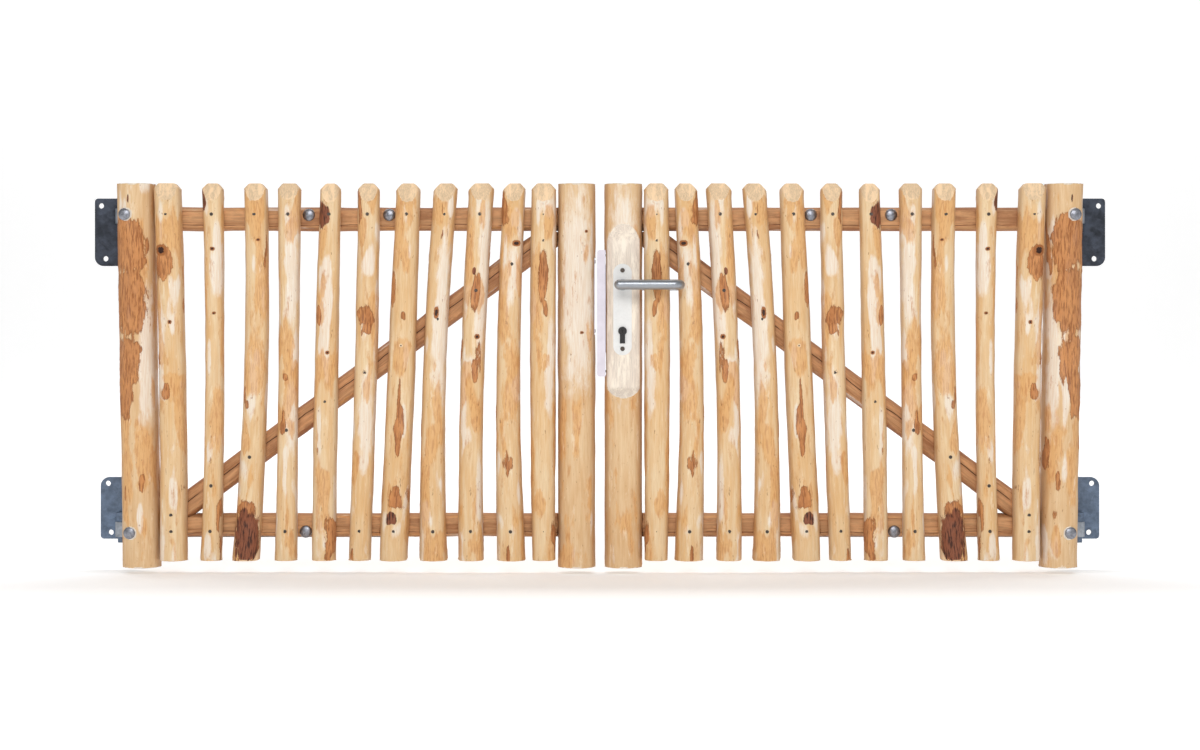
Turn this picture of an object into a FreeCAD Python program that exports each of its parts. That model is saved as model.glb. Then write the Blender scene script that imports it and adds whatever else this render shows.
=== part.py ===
"""Double garden gate of debarked round poles, with pin hinges, a mortise lock and a drop bolt.

Frame: X to the right as seen by someone facing the gate, -Y towards that person, Z up.
Origin: the middle line between the leaves, at the height of the posts' feet.
Units: millimetres.
"""
import FreeCAD, Part
import os
import re
import Sketcher

Vector = FreeCAD.Vector
Rotation = FreeCAD.Rotation

doc = FreeCAD.newDocument("garden_gate")
sheet = doc.addObject("Spreadsheet::Sheet", "Sizes")
cells = {}
nodes = {}


# ---------------------------------------------------------------- driving dimensions

def cell(alias, value, meaning):
    """One row of the sheet: a plain number with a name and what it means."""
    row = len(cells) + 1
    sheet.set(f"A{row}", meaning)
    sheet.set(f"B{row}", str(value))
    sheet.setAlias(f"B{row}", alias)
    cells[alias] = value


# The two leaves
cell("gap_wide", 16, "gap between the closing posts")
cell("leaf_wide", 957, "one leaf over its two posts")
cell("gate_tall", 768, "posts and paling tops")
cell("post_thick", 78, "diameter of the four posts")
cell("post_lean", 6, "how far a hinge post leans each way from its middle")

# Rails, their round tenons and the diagonal brace
cell("rail_thick", 50, "rail diameter before it is flattened")
cell("rail_deep", 36, "flattened rail, front to back")
cell("rail_back", 33, "rail's back face behind the posts' axes")
cell("upper_rail_drop", 70, "upper rail's axis below the post tops")
cell("lower_rail_z", 82, "lower rail's axis")
cell("tenon_r", 14, "round tenon's radius")
cell("tenon_long", 44, "tenon inside the closing post")
cell("tenon_wall", 2.1, "wood between a hinge post's tenons and its lower bolt")
cell("brace_thick", 52, "brace diameter before it is flattened")
cell("housing_deep", 10, "brace's foot let into the lower rail")

# Palings
cell("paling_foot_z", 15, "paling feet above the post feet")
cell("paling_seat", 14, "paling axis in front of its planed back")
cell("bevel_tall", 44, "front cut at a paling's head")
cell("bevel_angle", 19, "lean of the front cut, degrees")
cell("shoulder_tall", 14, "side cuts at a paling's head")
cell("shoulder_angle", 42, "lean of the side cuts, degrees")

# Each paling as it grew: diameter and sideways stray towards the gap, at foot, waist and head
grown_palings = (
    (58, 56, 58, -2, -5, -15),
    (46, 40, 46, 0, 7, 3),
    (56, 50, 50, -4, 17, 16),
    (48, 43, 50, 4, 9, 11),
    (50, 50, 44, 7, 12, 21),
    (46, 48, 46, 5, 18, 24),
    (58, 58, 50, 0, 16, 31),
    (58, 49, 50, 8, 10, 34),
    (54, 50, 54, 10, 13, 32),
    (60, 50, 48, 18, 12, 25),
    (49, 54, 52, 10, 8, 10),
)
stations = ("foot", "waist", "head")
for count, grown in enumerate(grown_palings, 1):
    for station, thick, stray in zip(stations, grown[:3], grown[3:]):
        cell(f"{station}_thick_{count}", thick, f"paling {count} diameter at its {station}")
        cell(f"{station}_stray_{count}", stray, f"paling {count} stray at its {station}")

# Wood screws through the palings
cell("screw_r", 2.2, "wood screw shank radius")
cell("screw_head_r", 3.5, "wood screw head radius")
cell("screw_head_tall", 2, "wood screw head thickness")
cell("screw_sunk", 4, "head's seat below the paling's front")
cell("screw_tip_y", 22, "how far back the screws reach")
cell("screw_offset", 8, "screws off the rail axes, outwards")
cell("screw_clear", 0.1, "clearance around a wood screw")

# Clearances between wooden pieces
cell("fit_clear", 0.2, "tenon, housing and recess clearance")
cell("cope_clear", 0.4, "hollowed rail ends to the posts")
cell("hole_past", 1, "drilled holes beyond each face of a plate")
cell("plate_screw_long", 20, "strike plate screws in the post")
cell("drop_screw_long", 22, "drop bolt screws in the post")
cell("pilot_past", 2, "drilled holes below the tips of those screws")
cell("flush_head_tall", 1.5, "head thickness of the plate and lock edge screws")
cell("end_screw_in", 8, "strike plate screws inside the plate's ends")
cell("drop_screw_in", 35, "drop bolt screws inside the plate's ends")
cell("cut_past", 5, "cutting tools beyond the faces they cut")

# Strap hinges on the back, their eyes and pins
cell("strap_tall", 30, "strap height")
cell("strap_thick", 5, "strap thickness")
cell("upper_strap_drop", 62, "upper strap's middle below the post tops")
cell("lower_strap_z", 70, "lower strap's middle")
cell("strap_past", 27, "strap beyond its last bolt")
cell("pin_r", 8, "hinge pin radius")
cell("pin_clear", 0.08, "running clearance of the eye on its pin")
cell("eye_wall", 5, "wall of the rolled eye")
cell("pin_out", 7, "pin axis outside the hinge post's edge")
cell("pin_past", 12, "pin beyond the eye")
cell("eye_gap", 0.5, "eye to the shoulder it turns on")
cell("arm_tall", 18, "welded arm, height")
cell("arm_r", 11, "welded arm, rounded nose radius")

# Pin plates, screwed to the pillars
cell("plate_thick", 6, "pin plate thickness")
cell("plate_back", 26, "plate's far face behind the pin axis")
cell("plate_hole_r", 5.5, "plate screw hole radius")
cell("upper_plate_wide", 120, "upper plate width")
cell("upper_plate_tall", 138, "upper plate height")
cell("upper_plate_drop", 94, "upper plate's middle below the post tops")
cell("upper_outer_half", 47, "upper plate, half spacing of the outer hole pair")
cell("upper_inner_half", 38, "upper plate, half spacing of the inner hole pair")
cell("upper_hole_half", 54, "upper plate, half spacing of the pairs in height")
cell("lower_plate_wide", 96, "lower plate width")
cell("lower_plate_tall", 126, "lower plate height")
cell("lower_plate_z", 111, "lower plate's middle")
cell("lower_outer_half", 27, "lower plate, half spacing of the outer hole pair")
cell("lower_inner_half", 33, "lower plate, half spacing of the inner hole pair")
cell("lower_hole_half", 50, "lower plate, half spacing of the pairs in height")
cell("corner_r", 7, "plate corners away from the gate's middle height")
cell("inner_corner_r", 18, "plate corners towards the gate's middle height")

# Carriage bolts with washers and nuts
cell("bolt_r", 5, "carriage bolt shank radius")
cell("bolt_head_r", 12.5, "carriage bolt head radius")
cell("bolt_head_tall", 5, "carriage bolt head height")
cell("bolt_clear", 0.3, "clearance around a bolt shank")
cell("bolt_past", 3, "bolt beyond its nut")
cell("washer_r", 10.5, "washer radius")
cell("washer_thick", 2, "washer thickness")
cell("nut_flats", 17, "nut across flats")
cell("nut_tall", 8, "nut height")
cell("post_bolt_in", 22, "post bolts inside the post's outer edge")
cell("spot_deep", 7, "spot face for a bolt head, below the post's front")
cell("bolt_sunk", 5.5, "bolt head sunk under a paling")
cell("upper_first_stray", 11, "upper rail's first bolt, stray from the paling pitch")
cell("upper_last_stray", 27, "upper rail's last bolt, stray from the paling pitch")
cell("lower_first_stray", 5, "lower rail's first bolt, stray from the paling pitch")
cell("lower_last_stray", 20, "lower rail's last bolt, stray from the paling pitch")

# Mortise lock in the right leaf's closing post
cell("spindle_drop", 203, "lever spindle below the post tops")
cell("backset", 37, "spindle behind the post's closing edge")
cell("lock_centres", 92, "lever spindle down to the key cylinder")
cell("panel_thick", 40, "post thickness where it is cut flat for the lock")
cell("panel_over", 90, "flat above the spindle")
cell("panel_under", 206, "flat below the spindle")
cell("upper_scoop", 34, "run-out above the flat")
cell("lower_scoop", 20, "run-out below the flat")
cell("case_thick", 16, "lock case thickness")
cell("case_wall", 1.5, "lock case sheet")
cell("case_deep", 57.5, "lock case behind the forend")
cell("case_over", 41, "lock case above the spindle")
cell("case_under", 43, "lock case below the key cylinder")
cell("case_clear", 0.3, "mortise clearance")
cell("forend_thick", 3, "forend thickness")
cell("forend_over", 70, "forend above the spindle")
cell("forend_under", 183, "forend below the spindle")
cell("forend_back", 12, "forend's rear edge behind the post's axis")
cell("flange_front", 22, "cover flange's front before the post's axis")
cell("flange_wide", 17, "cover flange across the gap")
cell("spindle_square", 8, "square spindle")
cell("spindle_clear", 0.05, "follower's square hole around the spindle")
cell("spindle_hole_r", 7, "hole for the spindle in case and plates")
cell("hub_r", 9, "follower radius")
cell("finger_reach", 19, "follower's finger above the spindle")
cell("finger_wide", 5, "follower's finger width")
cell("inner_clear", 0.2, "moving lock pieces to what they slide in")
cell("latch_rise", 20, "latch above the spindle")
cell("latch_tall", 14, "latch head height")
cell("latch_thick", 11, "latch and dead bolt thickness")
cell("latch_throw", 14, "latch travel")
cell("latch_head", 28, "latch head length")
cell("tail_thick", 4, "latch tail thickness")
cell("tail_tall", 5, "latch tail height")
cell("hook_wide", 3.5, "latch tail's hook")
cell("hook_gap", 1, "hook behind the follower's finger")
cell("bolt_drop", 45, "dead bolt below the spindle")
cell("bolt_tall", 24, "dead bolt height")
cell("bolt_long", 34, "dead bolt length")
cell("key_r", 8.5, "key cylinder's round part")
cell("key_tall", 33, "key cylinder profile height")
cell("stem_wide", 10, "key cylinder's stem width")
cell("key_long", 50, "key cylinder length")
cell("plug_r", 6.5, "turning plug radius")
cell("plug_clear", 0.07, "plug's running clearance")
cell("cam_r", 8, "cam ring radius")
cell("cam_reach", 14, "cam finger from the plug's axis")
cell("cam_wide", 9, "cam thickness along the plug")
cell("cam_thick", 6, "cam finger thickness")
cell("keyway_wide", 2, "keyway width")
cell("keyway_tall", 9, "keyway height")
cell("keyway_deep", 9, "keyway depth from each end of the plug")
cell("keyway_low", 5, "keyway below the plug's axis")
cell("cam_gap", 0.5, "cam to the cylinder body")
cell("cover_wide", 37, "lock cover plate width")
cell("cover_tall", 183, "lock cover plate height")
cell("cover_thick", 2, "lock cover plate thickness")
cell("cover_drop", 49, "cover plate's middle below the spindle")
cell("cover_screw_half", 78.5, "cover screws from the plate's middle")
cell("lever_r", 10, "lever bar radius")
cell("lever_out", 53, "lever bar's axis in front of the cover plate")
cell("lever_long", 113, "lever bar from the spindle to its returned end")
cell("lever_heel", 7, "lever bar on the other side of the spindle")
cell("lever_return", 14, "returned end towards the gate")
cell("lever_bend", 11, "bend radius at the returned end")
cell("neck_r", 11, "lever neck radius")
cell("neck_gap", 0.3, "lever neck to the cover plate")
cell("socket_floor", 8, "front lever's socket, floor behind the bar's axis")
cell("spindle_gap", 2, "spindle's ends to the socket's floor and the back bar's axis")
cell("lock_screw_r", 2.5, "lock screw radius")
cell("lock_screw_head_r", 4.5, "lock screw head radius")
cell("lock_screw_clear", 0.3, "clearance around a lock screw")
cell("forend_screw_in", 10, "forend screws from its ends")
cell("forend_screw_long", 30, "forend screw length")

# Strike plate in the left leaf's closing post
cell("strike_thick", 3, "strike plate thickness")
cell("strike_wide", 24, "strike plate width")
cell("strike_sunk", 2.5, "strike plate's face inside the post's edge")
cell("strike_over", 55, "strike plate above the spindle")
cell("strike_under", 100, "strike plate below the spindle")
cell("strike_room", 3, "room around latch and bolt in the strike plate")
cell("strike_pocket", 14, "pocket behind the strike plate")

# Drop bolt on the back of the left leaf's closing post
cell("drop_flat_deep", 4, "flat cut for the drop bolt, below the post's back")
cell("drop_plate_wide", 34, "drop bolt plate width")
cell("drop_plate_thick", 3, "drop bolt plate thickness")
cell("drop_plate_z", 110, "drop bolt plate's lower end")
cell("drop_plate_tall", 210, "drop bolt plate height")
cell("drop_rod_r", 6, "drop bolt rod radius")
cell("drop_rod_clear", 0.1, "running clearance of the rod in its guides")
cell("drop_axis_out", 11, "rod axis behind the plate")
cell("guide_wide", 22, "guide width")
cell("guide_tall", 20, "guide height")
cell("drop_rod_z", 25, "rod's foot when raised")
cell("drop_rod_long", 405, "rod length")
cell("knob_z", 255, "knob height when raised")
cell("knob_r", 4.5, "knob radius")
cell("knob_out", 32, "knob length from the rod's axis")
doc.recompute()


# ---------------------------------------------------------------- helpers

def bound(text):
    """Write the cell names in an expression the way other objects must name them."""
    def name_cell(word):
        return "Sizes." + word.group() if word.group() in cells else word.group()
    return re.sub(r"[a-z][a-z_]*[a-z0-9_]*", name_cell, str(text))


def number(text):
    """The value that an expression has now."""
    value = sheet.evalExpression(bound(text))
    return float(getattr(value, "Value", value))


def bind(item, **sizes):
    for size, text in sizes.items():
        item.setExpression(size, bound(text))


def place(item, x, y, z, axis=None, angle=None):
    """Put an object at bound coordinates, turned about an axis by a bound angle."""
    if axis:
        item.Placement.Rotation = Rotation(Vector(*axis), number(angle))
        item.setExpression("Placement.Rotation.Angle", bound(f"({angle}) * 1deg"))
    for direction, text in zip("xyz", (x, y, z)):
        item.setExpression(f"Placement.Base.{direction}", bound(text))
    return item


def box(name, x, y, z, wide, deep, tall):
    """A block from its lower, left, front corner."""
    item = doc.addObject("Part::Box", name)
    bind(item, Length=wide, Width=deep, Height=tall)
    return place(item, x, y, z)


pointing = {
    "x": ((0, 1, 0), "90"),
    "-x": ((0, -1, 0), "90"),
    "y": ((-1, 0, 0), "90"),
    "z": (None, None),
}


def rod(name, direction, x, y, z, radius, long):
    """A cylinder from the middle of its first end."""
    item = doc.addObject("Part::Cylinder", name)
    bind(item, Radius=radius, Height=long)
    return place(item, x, y, z, *pointing[direction])


def dome(name, direction, x, y, z, foot_r, top_r, tall):
    item = doc.addObject("Part::Cone", name)
    bind(item, Radius1=foot_r, Radius2=top_r, Height=tall)
    return place(item, x, y, z, *pointing[direction])


def round_end(name, direction, x, y, z, radius):
    """Half a sphere that rounds off the end of a rod, bulging along a direction."""
    item = doc.addObject("Part::Sphere", name)
    item.Angle1 = 0
    bind(item, Radius=radius)
    return place(item, x, y, z, *pointing[direction])


def pole(name, sections):
    """A grown pole through circles given as x, y, z and radius; its seam runs up the back."""
    rings = []
    for count, (x, y, z, radius) in enumerate(sections):
        ring = doc.addObject("Part::Circle", f"{name}_ring_{count}")
        bind(ring, Radius=radius)
        rings.append(place(ring, x, y, z, (0, 0, 1), "90"))
    item = doc.addObject("Part::Loft", name)
    item.Sections = rings
    item.Solid = True
    return item


def join(name, items):
    """One object of several: touching ones merge, separate ones stay separate solids."""
    item = doc.addObject("Part::MultiFuse", name)
    item.Shapes = items
    item.Refine = False
    return item


def cut(name, base, tools):
    item = doc.addObject("Part::Cut", name)
    item.Refine = False
    item.Base = base
    item.Tool = tools[0] if len(tools) == 1 else join(name + "_tools", tools)
    return item


def common(name, first, second):
    item = doc.addObject("Part::Common", name)
    item.Base = first
    item.Tool = second
    return item


def keep(node, item):
    """Register an object as the finished piece of this name."""
    item.Label = node
    nodes[node] = item
    return item


def across(side, near, far):
    """Start and width along X of what lies from near to far off the middle line."""
    start = near if side > 0 else f"-({far})"
    return start, f"({far}) - ({near})"


def sketch_in(body, role, offset):
    """A sketch on one of a body's origin planes, shifted along the plane's normal."""
    sketch = body.newObject("Sketcher::SketchObject", body.Name + "_sketch")
    plane = [face for face in body.Origin.OriginFeatures if face.Role == role][0]
    sketch.AttachmentSupport = [(plane, "")]
    sketch.MapMode = "FlatFace"
    sketch.setExpression("AttachmentOffset.Base.z", bound(offset))
    return sketch


def fix(sketch, kind, *where_and_text):
    *where, text = where_and_text
    index = sketch.addConstraint(Sketcher.Constraint(kind, *where, number(text)))
    sketch.setExpression(f"Constraints[{index}]", bound(text))


def outline(sketch, points):
    """A closed outline whose corners are bound coordinates."""
    corners = [Vector(number(x), number(y), 0) for x, y in points]
    sides = []
    for first, second in zip(corners, corners[1:] + corners[:1]):
        sides.append(sketch.addGeometry(Part.LineSegment(first, second), False))
    for first, second in zip(sides, sides[1:] + sides[:1]):
        sketch.addConstraint(Sketcher.Constraint("Coincident", first, 2, second, 1))
    for side, (x, y) in zip(sides, points):
        fix(sketch, "DistanceX", side, 1, x)
        fix(sketch, "DistanceY", side, 1, y)


def rectangle(sketch, left, low, right, high):
    outline(sketch, [(left, low), (right, low), (right, high), (left, high)])


def circle(sketch, x, y, radius):
    ring = Part.Circle(Vector(number(x), number(y), 0), Vector(0, 0, 1), number(radius))
    index = sketch.addGeometry(ring, False)
    fix(sketch, "DistanceX", index, 3, x)
    fix(sketch, "DistanceY", index, 3, y)
    fix(sketch, "Radius", index, radius)


def pad(body, sketch, long):
    feature = body.newObject("PartDesign::Pad", body.Name + "_pad")
    feature.Profile = sketch
    bind(feature, Length=long)
    return feature


def pocket_through(body, sketch):
    feature = body.newObject("PartDesign::Pocket", body.Name + "_pocket")
    feature.Profile = sketch
    feature.Type = "ThroughAll"
    feature.Midplane = True
    return feature


def round_corners(body, direction, chosen, radius):
    """Round the edges that run along a direction and whose middle is chosen."""
    doc.recompute()
    base = body.Tip
    names = []
    for index, edge in enumerate(base.Shape.Edges, 1):
        ends = [vertex.Point for vertex in edge.Vertexes]
        if len(ends) < 2 or edge.Curve.TypeId != "Part::GeomLine":
            continue
        along = (ends[1] - ends[0]).normalize()
        if abs(along.dot(direction)) > 0.99 and chosen((ends[0] + ends[1]) / 2):
            names.append(f"Edge{index}")
    feature = body.newObject("PartDesign::Fillet", body.Name + "_fillet")
    feature.Base = (base, names)
    bind(feature, Radius=radius)
    return feature


# ---------------------------------------------------------------- layout shared by the pieces

leaves = {"left": -1, "right": 1}
seat_y = "(rail_back - rail_deep)"
rail_y = "(rail_back - rail_deep / 2)"
paling_y = f"({seat_y} - paling_seat)"
upper_rail_z = "(gate_tall - upper_rail_drop)"
upper_strap_z = "(gate_tall - upper_strap_drop)"
closing_x = "(gap_wide / 2 + post_thick / 2)"
hinge_x = "(gap_wide / 2 + leaf_wide - post_thick / 2)"
inner_x = "(gap_wide / 2 + leaf_wide - post_thick)"
clear_wide = "(leaf_wide - 2 * post_thick)"
pitch = f"({clear_wide} / {len(grown_palings)})"
waist_z = "((gate_tall + paling_foot_z) / 2)"
brace_rise = f"({upper_rail_z} - rail_thick / 2 - lower_rail_z)"
brace_angle = f"atan({brace_rise} / {clear_wide})"
pin_x = "(gap_wide / 2 + leaf_wide + pin_out)"
eye_r = "(pin_r + pin_clear + eye_wall)"
pin_y = f"(rail_back + {eye_r})"
spindle_x = "(gap_wide / 2 + backset)"
spindle_z = "(gate_tall - spindle_drop)"
key_z = f"({spindle_z} - lock_centres)"


def hinge_post_x(z):
    """Distance of a leaning hinge post's axis from the middle line at a height."""
    return f"({hinge_x} + post_lean * (2 * ({z}) / gate_tall - 1))"


def along_paling(count, size, z, upper):
    """A paling's bound diameter or stray at a height above or below its waist."""
    end, end_z = ("head", "gate_tall") if upper else ("foot", "paling_foot_z")
    waist = f"waist_{size}_{count}"
    return f"({waist} + ({end}_{size}_{count} - {waist}) * (({z}) - {waist_z}) / ({end_z} - {waist_z}))"


def paling_x(count, stray):
    """Distance of a paling's axis from the middle line."""
    return f"({inner_x} - {pitch} * ({count} - 0.5) - ({stray}))"


def brace_z(x):
    """Height of the brace's axis at a distance from the middle line."""
    return f"(lower_rail_z + ({inner_x} - ({x})) * {brace_rise} / {clear_wide})"


def screw_places(count):
    """Where a paling is screwed: distance off the middle line, height, paling radius there."""
    low_z = "(lower_rail_z - screw_offset)"
    high_z = f"({upper_rail_z} + screw_offset)"
    near_z = brace_z(paling_x(count, f"waist_stray_{count}"))
    upper = number(near_z) > number(waist_z)
    middle_x = paling_x(count, along_paling(count, "stray", near_z, upper))
    heights = ((low_z, False), (brace_z(middle_x), upper), (high_z, True))
    places = []
    for z, above_waist in heights:
        x = paling_x(count, along_paling(count, "stray", z, above_waist))
        radius = f"({along_paling(count, 'thick', z, above_waist)} / 2)"
        places.append((x, z, radius))
    return places


def strap_bolts(level):
    """A strap's bolts: distance off the middle line, and whether a paling covers the head."""
    strap_z = upper_strap_z if level == "upper" else "lower_strap_z"
    return (
        (f"({hinge_post_x(strap_z)} + post_thick / 2 - post_bolt_in)", "post"),
        (f"({inner_x} - 4 * {pitch} - {level}_first_stray)", "rail"),
        (f"({inner_x} - 6 * {pitch} - {level}_last_stray)", "rail" if level == "upper" else "sunk"),
    )


levels = {
    "upper": (upper_strap_z, upper_rail_z),
    "lower": ("lower_strap_z", "lower_rail_z"),
}
spot_y = "(spot_deep - post_thick / 2)"
drop_flat = "(post_thick / 2 - drop_flat_deep)"
hinge_tenon_long = f"({strap_bolts('lower')[0][0]} - bolt_r - tenon_wall - {inner_x})"
head_seats = {"post": spot_y, "rail": seat_y, "sunk": f"({seat_y} + bolt_sunk)"}


# ---------------------------------------------------------------- posts

def post_blank(name, side, x_at, extra):
    """A whole round post; extra makes it a little fatter, as a tool."""
    radius = f"post_thick / 2 + {extra}"
    ends = []
    for z in ("0", "gate_tall"):
        ends.append((f"{side} * {x_at(z)}", "0", z, radius))
    return pole(name, ends)


def tenon_bores(name, side, edge_x, inward, tenon):
    """Bores for both rails' tenons, from the post's inner edge into the post."""
    bores = []
    outside = "(2 * post_lean)"
    deep = f"({tenon} + fit_clear)"
    start = f"{side} * {edge_x} - {outside if side * inward > 0 else deep}"
    for level, (strap_z, rail_z) in levels.items():
        bores.append(rod(f"{name}_{level}_bore", "x", start, rail_y, rail_z, "tenon_r + fit_clear",
                         f"{deep} + {outside}"))
    return bores


def hinge_post(leaf, side):
    """Leaning outer post: tenon bores, strap housings behind, spot faces in front."""
    name = f"{leaf}_hinge_post"
    tools = tenon_bores(name, side, inner_x, 1, hinge_tenon_long)
    for level, (strap_z, rail_z) in levels.items():
        x = f"{side} * {strap_bolts(level)[0][0]}"
        tools.append(box(f"{name}_{level}_housing", f"{side} * {hinge_x} - post_thick", "rail_back",
                         f"{strap_z} - strap_tall / 2 - fit_clear", "2 * post_thick", "post_thick",
                         "strap_tall + 2 * fit_clear"))
        tools.append(rod(f"{name}_{level}_hole", "y", x, "-post_thick", strap_z,
                         "bolt_r + bolt_clear", "2 * post_thick"))
        tools.append(rod(f"{name}_{level}_spot", "y", x, f"{spot_y} - post_thick", strap_z,
                         "bolt_head_r + 1", "post_thick"))
    blank = post_blank(f"{name}_blank", side, hinge_post_x, "0")
    keep(name, cut(f"{name}_cut", blank, tools))


def straight_x(z):
    """A closing post stands plumb."""
    return closing_x


def closing_post_left():
    """Plumb inner post with the strike plate's recess and the drop bolt's flat."""
    name = "left_closing_post"
    tools = tenon_bores(name, -1, f"({closing_x} + post_thick / 2)", -1, "tenon_long")
    face_x = "-(gap_wide / 2 + strike_sunk)"
    low_z = f"({spindle_z} - strike_under)"
    tools.append(box(f"{name}_recess", f"{face_x} - strike_thick", "-strike_wide / 2 - fit_clear",
                     f"{low_z} - fit_clear", "post_thick", "strike_wide + 2 * fit_clear",
                     "strike_under + strike_over + 2 * fit_clear"))
    for part, (z, tall) in strike_holes().items():
        tools.append(box(f"{name}_{part}_pocket", f"{face_x} - strike_thick - strike_pocket",
                         "-latch_thick / 2 - strike_room", f"{z} - {tall} / 2 - strike_room",
                         "2 * strike_pocket", "latch_thick + 2 * strike_room",
                         f"{tall} + 2 * strike_room"))
    for z in strike_screw_heights():
        tools.append(rod(f"{name}_strike_screw_hole", "x",
                         f"{face_x} - strike_thick - plate_screw_long - pilot_past",
                         "0", z, "screw_r + screw_clear", "2 * plate_screw_long"))
    tools.append(box(f"{name}_flat", f"-{closing_x} - post_thick / 2", drop_flat,
                     "drop_plate_z - fit_clear", "post_thick", "post_thick",
                     "drop_plate_tall + 2 * fit_clear"))
    for z in drop_screw_heights():
        tools.append(rod(f"{name}_drop_screw_hole", "y", f"-{closing_x}",
                         f"{drop_flat} - drop_screw_long - pilot_past", z,
                         "screw_r + screw_clear", "2 * drop_screw_long"))
    blank = post_blank(f"{name}_blank", -1, straight_x, "0")
    keep(name, cut(f"{name}_cut", blank, tools))


def closing_post_right():
    """Plumb inner post, cut flat front and back around the mortise lock."""
    name = "right_closing_post"
    edge_x = "gap_wide / 2"
    tools = tenon_bores(name, 1, f"({closing_x} + post_thick / 2)", -1, "tenon_long")
    deep = "(post_thick / 2 - panel_thick / 2)"
    low_z = f"({spindle_z} - panel_under)"
    high_z = f"({spindle_z} + panel_over)"
    for face, turn in (("front", "-1"), ("back", "1")):
        near = f"{turn} * panel_thick / 2"
        far = f"{turn} * (panel_thick / 2 + 2 * {deep})"
        profile = doc.addObject("Sketcher::SketchObject", f"{name}_{face}_profile")
        profile.Placement.Rotation = Rotation(Vector(1, 1, 1), 120)
        outline(profile, [(near, low_z), (near, high_z), (far, f"{high_z} + 2 * upper_scoop"),
                          (far, f"{low_z} - 2 * lower_scoop")])
        scoop = doc.addObject("Part::Extrusion", f"{name}_{face}_scoop")
        scoop.Base = profile
        scoop.Dir = Vector(1, 0, 0)
        scoop.DirMode = "Custom"
        scoop.Solid = True
        bind(scoop, LengthFwd="gap_wide + post_thick")
        tools.append(scoop)
    tools.append(box(f"{name}_edge", "0", "-post_thick", f"{spindle_z} - forend_under - fit_clear",
                     f"{edge_x} + forend_thick", "2 * post_thick",
                     "forend_under + forend_over + 2 * fit_clear"))
    tools.append(box(f"{name}_mortise", edge_x, "-case_thick / 2 - case_clear",
                     f"{key_z} - case_under - case_clear", "forend_thick + case_deep + case_clear",
                     "case_thick + 2 * case_clear",
                     "lock_centres + case_under + case_over + 2 * case_clear"))
    tools.append(rod(f"{name}_spindle_hole", "y", spindle_x, "-post_thick / 2", spindle_z,
                     "spindle_hole_r + 1", "post_thick"))
    tools.append(key_profile(f"{name}_key", "-post_thick / 2", "post_thick", "1"))
    for z in cover_screw_heights():
        tools.append(rod(f"{name}_cover_screw_hole", "y", spindle_x, "-post_thick / 2", z,
                         "lock_screw_r + lock_screw_clear", "post_thick"))
    for z in forend_screw_heights():
        tools.append(rod(f"{name}_forend_screw_hole", "x", "0", "0", z,
                         "lock_screw_r + screw_clear", f"{edge_x} + forend_screw_long + 2"))
    blank = post_blank(f"{name}_blank", 1, straight_x, "0")
    keep(name, cut(f"{name}_cut", blank, tools))


# ---------------------------------------------------------------- rails and brace

def cope_tools(name, side):
    """The leaf's two posts, slightly fat, that hollow the ends of rails and brace."""
    return [
        post_blank(f"{name}_hinge_cope", side, hinge_post_x, "cope_clear"),
        post_blank(f"{name}_closing_cope", side, straight_x, "cope_clear"),
    ]


def screw_holes(name, side, index):
    """Holes for the paling screws in a rail (index 0 or 2) or in the brace (index 1)."""
    holes = []
    for count in range(1, len(grown_palings) + 1):
        x, z, radius = screw_places(count)[index]
        holes.append(rod(f"{name}_hole_{count}", "y", f"{side} * {x}", f"{seat_y} - 5", z,
                         "screw_r + screw_clear", f"screw_tip_y - {seat_y} + 5.5"))
    return holes


def brace_blank(name, side, extra):
    """The brace before its ends are hollowed; extra makes the housing in the lower rail."""
    over = "post_thick"
    x = f"{side} * ({inner_x} + {over})"
    z = f"lower_rail_z - {over} * {brace_rise} / {clear_wide}"
    trunk = doc.addObject("Part::Cylinder", f"{name}_trunk")
    bind(trunk, Radius=f"brace_thick / 2 + {extra}",
         Height=f"({clear_wide} + 2 * {over}) / cos({brace_angle})")
    place(trunk, x, rail_y, z, (0, -side, 0), f"90 - {brace_angle} / 1deg")
    start, wide = across(side, closing_x, hinge_x)
    foot_z = f"(lower_rail_z + rail_thick / 2 - housing_deep - {extra})"
    head_z = f"({upper_rail_z} - rail_thick / 2 - fit_clear)"
    slab = box(f"{name}_slab", start, f"{seat_y} - 2 * {extra}", foot_z, wide,
               f"rail_deep + 4 * {extra}", f"{head_z} - {foot_z}")
    return common(f"{name}_blank", trunk, slab)


def brace(leaf, side):
    """Flattened diagonal pole from the hinge side's foot to the closing side's head."""
    name = f"{leaf}_brace"
    blank = brace_blank(name, side, "0")
    keep(name, cut(f"{name}_cut", blank, cope_tools(name, side) + screw_holes(name, side, 1)))


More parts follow.
